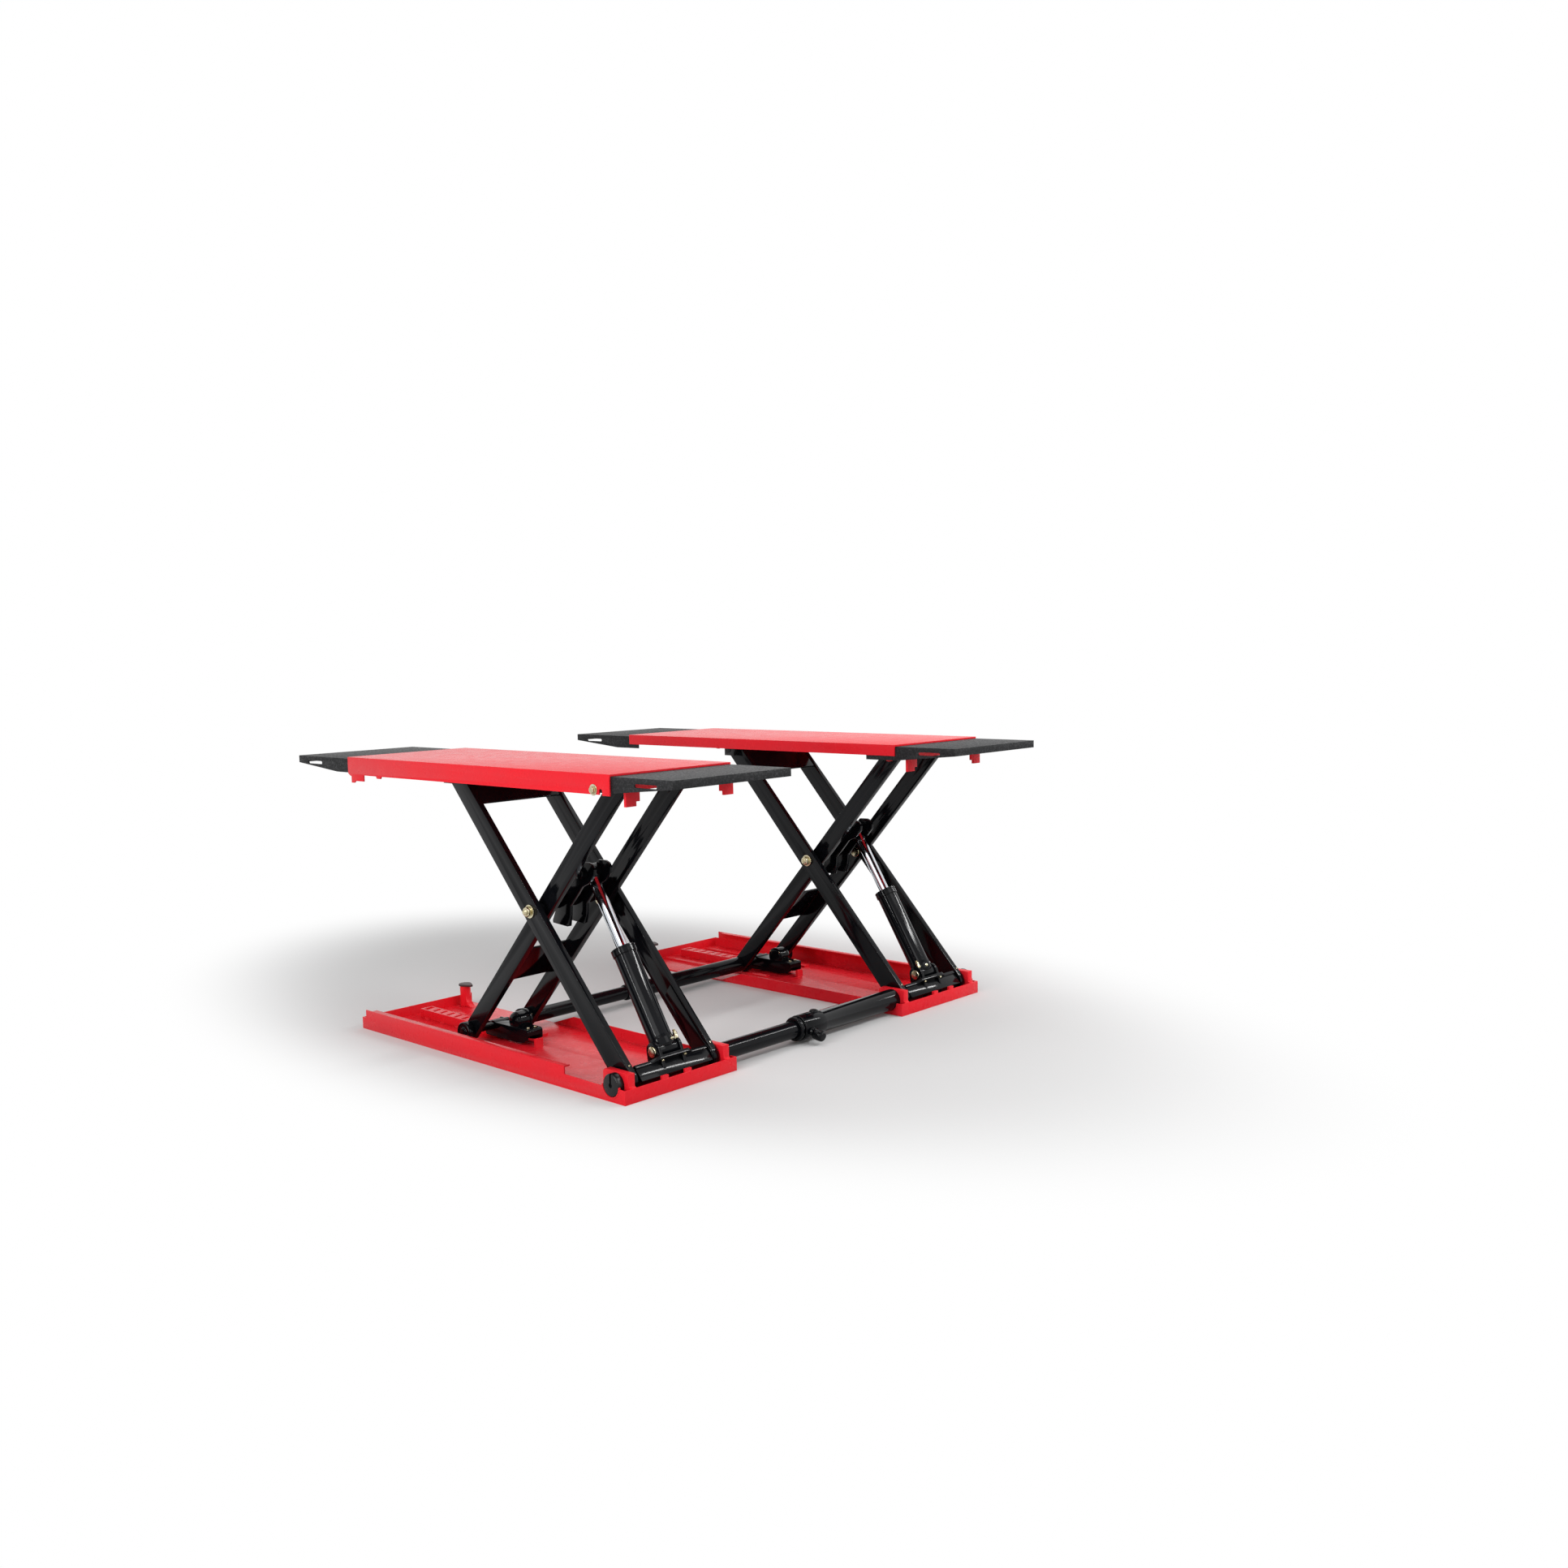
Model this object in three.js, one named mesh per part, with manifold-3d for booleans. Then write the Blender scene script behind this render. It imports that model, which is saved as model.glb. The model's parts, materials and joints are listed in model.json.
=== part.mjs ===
import * as THREE from 'three';
import { mergeVertices } from 'three/addons/utils/BufferGeometryUtils.js';
import Module from 'manifold-3d';

// Portable scissor car lift: two low scissor units that stand side by side under a vehicle's sills.
// Each unit is a sheet-steel tray, an outer and an inner pair of legs crossed on two pins, a deck with
// two pull-out extensions, a hydraulic ram and a safety pawl over a slotted rack.
// Millimetres. A unit is drawn with x from its rear to its front, y from its outer side to its inner
// side and z up from the ground. The second unit is the first one mirrored across the middle.

const wasm = await Module();
wasm.setup();

// Running and weld gap between neighbouring pieces, overrun of every cut, roundness of turned shapes
const gap = 0.3;
const overrun = 2;
const roundSteps = 18;
const smallRoundSteps = 10;
const curveSegments = 4;

// Trays
const trayLength = 1450;
const trayWidth = 475;
const traySpacing = 860;
const floorThickness = 6;
const wallThickness = 5;
const lowWallHeight = 45;
const rearWallHeight = 42;
const railHeight = 71;
const railFlangeWidth = 24;
const railFlangeThickness = 5;
const railRearX = 25;
const railFrontInset = 287;
const railFlangeRearX = 60;
const innerWallRearX = 515;
const innerWallRampLength = 115;

// Scissor: pivot at the front of the tray, legs split a little above their middle by the crossing pins
const frontPivotInset = 65;
const pivotHeight = 51;
const lowerLegLength = 645;
const upperLegLength = 572;
const deckTopRaised = 995;
const deckTopLowered = 147;
const deckAxisDrop = 46;
const legThickness = 22;
const legHalfWidth = 33;
const outerLegY = 55;
const innerLegY = 106;
const outerLegFootRadius = 40;

// Shafts and tubes
const frontTubeRadius = 30;
const frontTubeWall = 5;
const frontSleeveWall = 8;
const frontSleeveOverlap = 60;
const slideInReach = 150;
const endCapRadius = 35.5;
const endCapFaceY = -1;
const endCapPlugLength = 22;
const rearTubeRadius = 25;
const rearSleeveWall = 4.7;
const stubRadius = 12.5;
const crossingPinRadius = 12;
const crossingBossRadius = 22;

// Ears that carry the front tube, and the red collar round the end cap in the tray's outer wall
const earY = 24;
const earThickness = 25;
const earRearReach = 62;
const earHeight = 89;
const earChamfer = 8;
const capCollarWidth = 5;
const capCollarProud = 1.5;

// Foot rollers and their tracks
const rollerRadius = 36;
const rollerWidth = 26;
const rollerChamfer = 2;
const outerRollerY = 79.3;
const innerRollerY = 320;
const trackSpare = 20;
const trackFrontReach = 125;
const trackMargin = 1.5;
const retainerRadius = 16;
const retainerThickness = 1.4;

// Safety rack: a bar with a row of slanted slots
const rackWidth = 50;
const rackHeight = 31.5;
const rackSideThickness = 6;
const rackRearReach = 46;
const rackFrontReach = 10;
const rackSlotPitch = 45;
const rackSlotLength = 15;
const rackFirstSlotLength = 24;
const rackSlotDepth = 22;
const rackSlotSlant = 9;
const rackEndMargin = 30;

// Lock carriage over the rack, its release cylinder and its pawl
const carriageWidth = 65;
const carriageWallThickness = 4.5;
const carriageClearance = 4;
const carriageBottom = 13;
const carriageTop = 64;
const carriageRearReach = 46;
const carriageFrontReach = 196;
const carriageSkirtStart = 24;
const carriageNoseLength = 62;
const carriageNoseRise = 17;
const carriageChamfer = 6;
const carriageBossRadius = 18;
const cylinderX = 111;
const cylinderHeight = 80;
const cylinderRadius = 33;
const cylinderInset = 3;
const cylinderNoseLength = 16;
const cylinderNoseShares = [[0.55, 0], [0.85, 0.3], [1, 1]];
const cylinderFlangeRadius = 36;
const cylinderFlangeThickness = 8;
const pawlHingeReach = 30;
const pawlHingeHeight = 52;
const pawlPinRadius = 5;
const pawlBossRadius = 11;
const pawlSideGap = 1.5;
const pawlNoseReach = 64;
const pawlNoseRadius = 5;

// Rear corner post with its gusset and overhanging cap
const postX = 35;
const postInset = 50;
const postRadius = 20;
const postWall = 4;
const postHeight = 84;
const postGussetLength = 42;
const postGussetHeight = 38;
const postGussetThickness = 24;
const postCapRadius = 24;
const postCapOverhang = 34;
const postCapTipRadius = 9;
const postCapThickness = 7;
const postPlugLength = 14;

// Deck
const deckEndInset = 8.5;
const deckThickness = 6;
const deckOverhang = 14;
const deckRailThickness = 5;
const deckOuterRailDepth = 62;
const deckInnerRailDepth = 40;
const deckRailToeDepth = 64;
const deckRailToeLength = 33.5;
const deckRailNotchRadius = 7.5;
const deckRailNotchInset = 41;
const deckRailNotchDrop = 51.5;
const deckRailRearDepth = 67;
const deckRailCornerLength = 15;
const deckRailCornerRise = 8.5;
const rearTabInset = 21;
const rearTabLength = 79;
const rearTabDepth = 84;
const rearTabToeLength = 17;
const rearTabToeDepth = 91;
const rearTabSlope = 9;
const railBumpX = 190;
const railBumpLength = 32;
const railBumpDepth = 70;
const railBumpSlope = 5;
const deckTrackThickness = 14.5;
const deckTrackMargin = 2;
const deckTrackFrontReach = 76;
const deckRibThickness = 18;
const deckRibGap = 3.7;
const deckRibRadius = 24;
const deckRibLength = 440;
const deckRibDepth = 40;
const crossBarThickness = 16;
const crossBarDepth = 55;
const lugReach = 28.5;
const lugThickness = 10;
const lugY = 15;
const lugWidth = 54;
const lugDepth = 97;
const lugStep = 14;
const lugArmWidth = 12;
const deckPinRadius = 11;
const deckPinHeadRadius = 16;
const deckPinHeadThickness = 6;
const lockBoltInset = 71.5;
const lockBoltDrop = 48;
const lockBoltRadius = 6;
const lockBoltHeadRadius = 11;
const lockBoltHeadThickness = 8;
const lockBoltWasherRadius = 17;
const lockBoltWasherThickness = 3;

// Pull-out extensions, as far as the photograph shows them pulled out
const extensionLength = 400;
const frontExtensionReach = 265;
const frontExtensionTravel = 220;
const rearExtensionReach = 350;
const extensionThickness = 5;
const extensionDepth = 50;
const extensionTipDepth = 26;
const extensionTaperLength = 265;
const extensionDrop = 0.5;
const extensionSideGap = 0.6;
const extensionRunMargin = 3;
const extensionSlotLength = 97;
const extensionSlotHeight = 11;
const extensionSlotInset = 66;
const extensionSlotDrop = 22;

// Cross plates of the legs
const platePerpendicular = 25;
const crossPlateThickness = 8;
const outerPlateStart = 20;
const outerPlateLength = 130;
const innerPlateStart = 226;
const innerPlateLength = 166;
const midPlateStart = -45;
const midPlateLength = 103;

// Hydraulic ram, its foot bracket on the front tube and its fork on the inner legs
const ramFootAlong = 54;
const ramFootAcross = 28;
const ramHeadAlong = 145;
const ramHeadAcross = 12;
const barrelRadius = 38;
const barrelBoreRadius = 31;
const barrelStart = 34;
const barrelLength = 350;
const barrelBoreStart = 48;
const glandRadius = 41;
const glandLength = 24;
const ramRodRadius = 19;
const pistonRadius = 30.7;
const pistonLength = 25;
const pistonFromFoot = 235;
const eyeRadius = 26;
const rodEyeHalfWidth = 28;
const ramPinRadius = 12.7;
const ramPinHeadThickness = 5;
const footBracketThickness = 11.5;
const footBracketTubeRadius = 36;
const footBracketEyeRadius = 30;
const saddleHalfWidth = 90;
const saddleThickness = 8;
const webStart = 13;
const webThickness = 12;
const webBase = 20;
const webShoulder = 38;
const webStep = 7;
const webTop = 54;
const webTopHalfWidth = 56;
const forkThickness = 11.7;
const forkStart = -20;
const forkEnd = 185;
const forkDepth = 20;
const forkRise = 35;
const forkLugDrop = 50;
const forkLugRadius = 30;
const forkBossRadius = 20;
const forkBossLength = 14;

// Crossing pins
const washerRadius = 22;
const washerThickness = 4;
const nutRadius = 17;
const nutThickness = 14;
const threadRadius = 9;
const threadLength = 8;
const pinRetainerRadius = 20;
const pinRetainerThickness = 6;

// Clamp that locks the distance between the units, placed from the lift's middle
const sleeveBeadStart = -88;
const sleeveBeadLength = 18;
const sleeveBeadRadius = 42.5;
const clampCollarStart = -68;
const clampCollarLength = 108;
const clampCollarRadius = 44;
const clampScrewY = -35;
const clampScrewRadius = 8;
const clampScrewLength = 20;
const clampBossRadius = 15;
const clampBossLength = 52;
const clampGripRadius = 20;
const clampGripEndRadius = 16;
const clampGripLength = 34;
const clampLean = THREE.MathUtils.degToRad(105);
const clampBumpY = 18;
const clampBumpRadius = 16;
const clampBumpHeight = 50;

// Front wall tabs and floor tab
const frontTabInsets = [155, 252];
const frontTabWidth = 26;
const frontTabThickness = 8;
const frontTabHeight = 55;
const floorTabClearance = 12;
const floorTabLength = 12;
const floorTabWidth = 30;
const floorTabHeight = 34;

// Sleeve of the rear tube
const rearSleeveOverlap = 90;

// Places that follow from the driving sizes
const overallWidth = 2 * trayWidth + traySpacing;
const midY = overallWidth / 2;
const unitMidY = trayWidth / 2;
const deckTopAxis = deckTopRaised - deckAxisDrop;
const fullLegLength = lowerLegLength + upperLegLength;
const legSlope = Math.asin((deckTopAxis - pivotHeight) / fullLegLength);
const loweredSlope = Math.asin((deckTopLowered - deckAxisDrop - pivotHeight) / fullLegLength);
const frontPivot = { x: trayLength - frontPivotInset, z: pivotHeight };
const outerLegDirection = { x: -Math.cos(legSlope), z: Math.sin(legSlope) };
const innerLegDirection = { x: Math.cos(legSlope), z: Math.sin(legSlope) };
const outerLegAcross = { x: Math.sin(legSlope), z: Math.cos(legSlope) };
const innerLegAcross = { x: -Math.sin(legSlope), z: Math.cos(legSlope) };
const crossing = along(frontPivot, outerLegDirection, lowerLegLength);
const outerLegTop = along(frontPivot, outerLegDirection, fullLegLength);
const foot = along(crossing, innerLegDirection, -lowerLegLength);
const innerLegTop = along(crossing, innerLegDirection, upperLegLength);
const ramFoot = along(along(frontPivot, outerLegDirection, ramFootAlong), outerLegAcross, ramFootAcross);
const ramHead = along(along(crossing, innerLegDirection, ramHeadAlong), innerLegAcross, ramHeadAcross);
const ramLength = Math.hypot(ramHead.x - ramFoot.x, ramHead.z - ramFoot.z);
const ramDirection = {
  x: (ramHead.x - ramFoot.x) / ramLength,
  z: (ramHead.z - ramFoot.z) / ramLength,
};
const loweredFootX = frontPivot.x - 2 * lowerLegLength * Math.cos(loweredSlope);
const loweredLegTopX = frontPivot.x - fullLegLength * Math.cos(loweredSlope);
const railFrontX = trayLength - railFrontInset;
const trackTop = pivotHeight - rollerRadius - gap;
const rackTop = floorThickness + rackHeight;
const rackRearX = loweredFootX - rackRearReach;
const rackFrontX = foot.x + rackFrontReach;
const carriageY0 = unitMidY - carriageWidth / 2;
const carriageY1 = unitMidY + carriageWidth / 2;
const pawlHinge = { x: foot.x - pawlHingeReach, z: pawlHingeHeight };
const outerLegTopY = outerLegY + legThickness;
const innerLegInsideY = innerLegY + legThickness;
const deckRearX = deckEndInset;
const deckFrontX = trayLength - deckEndInset;
const deckUnderside = deckTopRaised - deckThickness;
const deckOuterY = -deckOverhang;
const extensionTop = deckUnderside - extensionDrop;
const underExtension = extensionTop - extensionThickness - extensionSideGap;
const frontExtensionInnerX = deckFrontX + frontExtensionReach - extensionLength;
const rearExtensionInnerX = deckRearX - rearExtensionReach + extensionLength;
const slideBlockHalf = deckAxisDrop - deckThickness - deckTrackThickness - gap;
const lockBolt = { x: deckFrontX - lockBoltInset, z: deckTopRaised - lockBoltDrop };
const liftMiddleX = (deckFrontX + frontExtensionReach + deckRearX - rearExtensionReach) / 2;

function along(point, direction, distance) {
  return { x: point.x + direction.x * distance, z: point.z + direction.z * distance };
}

// Solids and meshes

function solidOf(geometry) {
  const bare = geometry.clone();
  bare.deleteAttribute('normal');
  bare.deleteAttribute('uv');
  const merged = mergeVertices(bare);
  const vertProperties = new Float32Array(merged.attributes.position.array);
  const triVerts = new Uint32Array(merged.index.array);
  return new wasm.Manifold(new wasm.Mesh({ numProp: 3, vertProperties, triVerts }));
}

function geometryOf(solid) {
  const mesh = solid.getMesh();
  const geometry = new THREE.BufferGeometry();
  geometry.setAttribute('position', new THREE.BufferAttribute(new Float32Array(mesh.vertProperties), 3));
  geometry.setIndex(new THREE.BufferAttribute(new Uint32Array(mesh.triVerts), 1));
  return geometry;
}

function union(solids) {
  return solids.reduce((whole, solid) => whole.add(solid));
}

function box(x0, x1, y0, y1, z0, z1) {
  const geometry = new THREE.BoxGeometry(x1 - x0, y1 - y0, z1 - z0);
  geometry.translate((x0 + x1) / 2, (y0 + y1) / 2, (z0 + z1) / 2);
  return solidOf(geometry);
}

// A round bar along y, centred on a point of the side view
function crossBar(point, radius, y0, y1, steps = roundSteps) {
  const geometry = new THREE.CylinderGeometry(radius, radius, y1 - y0, steps);
  geometry.translate(point.x, (y0 + y1) / 2, point.z);
  return solidOf(geometry);
}

// Radius of a hole of flat facets whose flats, too, stay outside the circle of a shaft that turns in it
function boreRadius(radius, steps) {
  return radius / Math.cos(Math.PI / steps);
}

function crossBore(point, radius, y0, y1, steps = smallRoundSteps) {
  return crossBar(point, boreRadius(radius, steps), y0 - overrun, y1 + overrun, steps);
}

// A turned shape whose profile is [radius, distance along y]
function crossTurned(point, profile, steps = roundSteps) {
  const geometry = new THREE.LatheGeometry(profile.map(([r, y]) => new THREE.Vector2(r, y)), steps);
  geometry.translate(point.x, 0, point.z);
  return solidOf(geometry);
}

function tubeAlongY(point, inner, outer, y0, y1) {
  const bore = boreRadius(inner, roundSteps);
  return crossTurned(point, [[bore, y0], [outer, y0], [outer, y1], [bore, y1], [bore, y0]]);
}

// A turned shape that stands on the tray, its profile as [radius, height]
function uprightTurned(x, y, profile) {
  const geometry = new THREE.LatheGeometry(profile.map(([r, z]) => new THREE.Vector2(r, z)), smallRoundSteps);
  geometry.rotateX(Math.PI / 2);
  geometry.translate(x, y, 0);
  return solidOf(geometry);
}

// A plate of an outline of the ground view between two heights
function levelPlate(outline, z0, z1) {
  const geometry = new THREE.ExtrudeGeometry(outline, {
    depth: z1 - z0, bevelEnabled: false, curveSegments,
  });
  geometry.translate(0, 0, z0);
  return solidOf(geometry);
}

// A plate cut to an outline of the side view, standing between two values of y
function sidePlate(outline, y0, y1) {
  const geometry = new THREE.ExtrudeGeometry(outline, {
    depth: y1 - y0, bevelEnabled: false, curveSegments,
  });
  geometry.rotateX(Math.PI / 2);
  geometry.translate(0, y1, 0);
  return solidOf(geometry);
}

function outlineOf(points) {
  return new THREE.Shape(points.map(([x, z]) => new THREE.Vector2(x, z)));
}

// Outline of a link with round ends of its own radius at two points
function linkOutline(start, startRadius, end, endRadius) {
  const length = Math.hypot(end.x - start.x, end.z - start.z);
  const heading = Math.atan2(end.z - start.z, end.x - start.x);
  const spread = Math.acos((startRadius - endRadius) / length);
  const outline = new THREE.Shape();
  outline.absarc(start.x, start.z, startRadius, heading + spread, heading + 2 * Math.PI - spread, false);
  outline.absarc(end.x, end.z, endRadius, heading - spread, heading + spread, false);
  return outline;
}

// Puts a solid drawn as along a leg, through the unit's width and across the leg onto that leg
function onLeg(solid, origin, direction) {
  const backward = direction.x < 0;
  const turn = THREE.MathUtils.radToDeg(backward ? Math.PI - legSlope : legSlope);
  const faced = backward ? solid.mirror([0, 0, 1]) : solid;
  return faced.rotate([0, -turn, 0]).translate([origin.x, 0, origin.z]);
}

function legBox(origin, direction, from, to, y0, y1, across0, across1) {
  return onLeg(box(from, to, y0, y1, across0, across1), origin, direction);
}

// The same shape on the other side of a unit
function acrossUnit(solid) {
  return solid.mirror([0, 1, 0]).translate([0, trayWidth, 0]);
}

function bothSides(solid) {
  return solid.add(acrossUnit(solid));
}

// Tray: floor, four low walls, the raised outer rail, roller tracks, ears and stop tabs
function trayFloorAndWalls() {
  const outerWall = outlineOf([
    [0, 0], [trayLength, 0], [trayLength, lowWallHeight], [railFrontX, lowWallHeight],
    [railFrontX, railHeight], [railRearX, railHeight], [railRearX, rearWallHeight], [0, rearWallHeight],
  ]);
  const innerWall = outlineOf([
    [innerWallRearX, 0], [trayLength, 0], [trayLength, lowWallHeight],
    [innerWallRearX + innerWallRampLength, lowWallHeight], [innerWallRearX, floorThickness],
  ]);
  return union([
    box(0, trayLength, 0, trayWidth, 0, floorThickness),
    box(trayLength - wallThickness, trayLength, 0, trayWidth, 0, lowWallHeight),
    box(0, wallThickness, 0, trayWidth, 0, rearWallHeight),
    sidePlate(outerWall, 0, wallThickness),
    sidePlate(innerWall, trayWidth - wallThickness, trayWidth),
    box(railFlangeRearX, railFrontX, 0, railFlangeWidth, railHeight - railFlangeThickness, railHeight),
  ]);
}

// Ear that carries the front tube. It meets the front wall below and stays behind the deck's lugs above.
function ear() {
  const rearX = frontPivot.x - earRearReach;
  const wallX = trayLength - wallThickness / 2;
  const frontX = trayLength - 2 * wallThickness;
  return sidePlate(outlineOf([
    [rearX, 0], [wallX, 0], [wallX, lowWallHeight], [frontX, lowWallHeight + wallThickness],
    [frontX, earHeight], [rearX + earChamfer, earHeight], [rearX, earHeight - earChamfer],
  ]), earY, earY + earThickness);
}

function track(y) {
  return box(loweredFootX - rollerRadius - trackSpare, foot.x + trackFrontReach, y - trackMargin,
    y + rollerWidth - gap + trackMargin, 0, trackTop);
}

function tray() {
  const frontTabs = union(frontTabInsets.map((inset) => box(
    trayLength - wallThickness - frontTabThickness, trayLength - wallThickness / 2,
    inset, inset + frontTabWidth, 0, frontTabHeight,
  )));
  const floorTabX = foot.x + carriageFrontReach + floorTabClearance;
  const floorTab = box(floorTabX, floorTabX + floorTabLength, unitMidY - floorTabWidth / 2,
    unitMidY + floorTabWidth / 2, 0, floorTabHeight);
  const collarRadius = endCapRadius + capCollarWidth;
  const collar = crossBar(frontPivot, collarRadius, -capCollarProud, wallThickness)
    .subtract(box(frontPivot.x - 2 * collarRadius, frontPivot.x + 2 * collarRadius,
      -capCollarProud - overrun, wallThickness + overrun, pivotHeight, pivotHeight + 2 * collarRadius));
  const notch = crossBore(frontPivot, endCapRadius + gap, -capCollarProud, wallThickness, roundSteps);
  const tubeHole = crossBore(frontPivot, frontTubeRadius + gap, earY, trayWidth - earY, roundSteps);
  const sleeveNotch = crossBore(frontPivot, frontTubeRadius + 2 * gap + frontSleeveWall,
    trayWidth - wallThickness, trayWidth, roundSteps);
  return trayFloorAndWalls().add(bothSides(ear())).add(track(outerRollerY)).add(track(innerRollerY))
    .add(frontTabs).add(floorTab).add(collar).subtract(notch).subtract(tubeHole).subtract(sleeveNotch);
}

// Rack: a bar with a longer slot at its rear end and slanted slots at an even pitch ahead of it
function rack() {
  const y0 = unitMidY - rackWidth / 2;
  const y1 = unitMidY + rackWidth / 2;
  const bar = box(rackRearX, rackFrontX, y0, y1, floorThickness + gap, rackTop);
  const slot = (x, length) => levelPlate(outlineOf([
    [x + rackSlotSlant, y0 + rackSideThickness], [x + rackSlotSlant + length, y0 + rackSideThickness],
    [x + length, y1 - rackSideThickness], [x, y1 - rackSideThickness],
  ]), rackTop - rackSlotDepth, rackTop + overrun);
  const firstX = rackRearX + rackSideThickness;
  const slots = [slot(firstX, rackFirstSlotLength)];
  const secondX = firstX + rackFirstSlotLength - rackSlotLength + rackSlotPitch;
  for (let x = secondX; x < rackFrontX - rackEndMargin; x += rackSlotPitch) {
    slots.push(slot(x, rackSlotLength));
  }
  return bar.subtract(union(slots));
}

// Corner post: a tube with a curved gusset toward the front
function post() {
  const centreY = trayWidth - postInset;
  const bottom = floorThickness + gap;
  const tube = uprightTurned(postX, centreY, [
    [postRadius - postWall, bottom], [postRadius, bottom], [postRadius, postHeight],
    [postRadius - postWall, postHeight], [postRadius - postWall, bottom],
  ]);
  const startX = postX + postRadius - postWall / 2;
  const endX = startX + postGussetLength;
  const outline = new THREE.Shape();
  outline.moveTo(startX, bottom);
  outline.lineTo(endX, bottom);
  outline.quadraticCurveTo(startX + wallThickness, bottom, startX, bottom + postGussetHeight);
  return tube.add(sidePlate(outline, centreY - postGussetThickness / 2, centreY + postGussetThickness / 2));
}

// Cap of the corner post, with a nose that overhangs toward the front
function postCap() {
  const centreY = trayWidth - postInset;
  const bottom = postHeight + gap;
  const plug = postRadius - postWall - gap;
  const top = levelPlate(linkOutline({ x: postX, z: centreY }, postCapRadius,
    { x: postX + postCapOverhang, z: centreY }, postCapTipRadius), bottom, bottom + postCapThickness);
  return top.add(uprightTurned(postX, centreY, [
    [0, postHeight - postPlugLength], [plug, postHeight - postPlugLength], [plug, bottom + overrun],
    [0, bottom + overrun],
  ]));
}

// Outer legs: two arms, the cross plate near their top ends and the stub axles of the slide blocks
function outerLegs() {
  const arm = sidePlate(linkOutline(frontPivot, outerLegFootRadius, outerLegTop, legHalfWidth),
    outerLegY, outerLegTopY);
  const stub = crossBar(outerLegTop, stubRadius, slideBlockY() - gap, outerLegY + overrun, smallRoundSteps);
  const side = arm.add(stub)
    .subtract(crossBore(frontPivot, frontTubeRadius + gap, outerLegY, outerLegTopY, roundSteps))
    .subtract(crossBore(crossing, crossingPinRadius + gap, outerLegY, outerLegTopY));
  const plate = legBox(outerLegTop, outerLegDirection, -outerPlateStart - outerPlateLength, -outerPlateStart,
    outerLegY + overrun, trayWidth - outerLegY - overrun,
    platePerpendicular, platePerpendicular + crossPlateThickness);
  return bothSides(side).add(plate);
}

function slideBlockY() {
  return outerLegY - legThickness - wallThickness;
}

// Slide block under the deck's rear track, on the outer leg's stub axle
function slideBlock() {
  const y0 = slideBlockY();
  const y1 = outerLegY - gap;
  return box(outerLegTop.x - slideBlockHalf, outerLegTop.x + slideBlockHalf, y0, y1,
    deckTopAxis - slideBlockHalf, deckTopAxis + slideBlockHalf)
    .subtract(crossBore(outerLegTop, stubRadius + gap, y0, y1));
}

// Inner legs: two arms, two cross plates, the ram fork, the foot shaft and spacers on the crossing pins
function innerLegs() {
  const arm = sidePlate(linkOutline(foot, legHalfWidth - legHalfWidth / 10, innerLegTop, legHalfWidth),
    innerLegY, innerLegInsideY);
  const boss = crossBar(crossing, crossingBossRadius, outerLegTopY + gap, innerLegY + overrun,
    smallRoundSteps);
  const shaft = crossBar(foot, stubRadius, outerRollerY - gap, trayWidth - innerLegInsideY + overrun,
    smallRoundSteps);
  const retainer = crossBar(foot, retainerRadius, outerRollerY - gap - retainerThickness,
    outerRollerY - gap, smallRoundSteps);
  const pinHole = crossBore(crossing, crossingPinRadius + gap, outerLegTopY, innerLegInsideY);
  const deckPinHole = crossBore(innerLegTop, deckPinRadius + gap, innerLegY, innerLegInsideY);
  const y0 = innerLegY + overrun;
  const y1 = trayWidth - innerLegY - overrun;
  const across1 = platePerpendicular + crossPlateThickness;
  const plates = union([
    legBox(foot, innerLegDirection, innerPlateStart, innerPlateStart + innerPlateLength, y0, y1,
      platePerpendicular, across1),
    legBox(crossing, innerLegDirection, midPlateStart, midPlateStart + midPlateLength, y0, y1,
      platePerpendicular, across1),
  ]);
  return bothSides(arm.add(boss).subtract(pinHole).subtract(deckPinHole)).add(shaft).add(retainer)
    .add(plates).add(bothSides(forkCheek()));
}

// One cheek of the fork that takes the ram's head, hanging from the inner legs' middle cross plate
function forkCheek() {
  const y1 = unitMidY - rodEyeHalfWidth - gap;
  const y0 = y1 - forkThickness;
  const place = (distance, across) => {
    const point = along(along(crossing, innerLegDirection, distance), innerLegAcross, across);
    return [point.x, point.z];
  };
  const cheek = sidePlate(outlineOf([
    place(forkStart, -forkDepth), place(forkEnd - forkRise, -forkDepth), place(forkEnd, 0),
    place(forkEnd, forkRise / 2), place(forkEnd - forkRise, forkRise), place(forkStart, forkRise),
  ]), y0, y1);
  const lugEnd = { x: crossing.x, z: crossing.z - forkLugDrop };
  const lugStart = along(crossing, innerLegDirection, forkLugRadius / 2);
  const lug = sidePlate(linkOutline(lugStart, forkLugRadius, lugEnd, forkLugRadius), y0, y1);
  const boss = crossBar(ramHead, forkBossRadius, y0 - forkBossLength, y0 + overrun, smallRoundSteps);
  return cheek.add(lug).add(boss);
}

function footRoller(y0) {
  const y1 = y0 + rollerWidth - gap;
  const bore = boreRadius(stubRadius + gap, roundSteps);
  return crossTurned(foot, [
    [bore, y0], [rollerRadius - rollerChamfer, y0], [rollerRadius, y0 + rollerChamfer],
    [rollerRadius, y1 - rollerChamfer], [rollerRadius - rollerChamfer, y1], [bore, y1], [bore, y0],
  ]);
}

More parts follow.
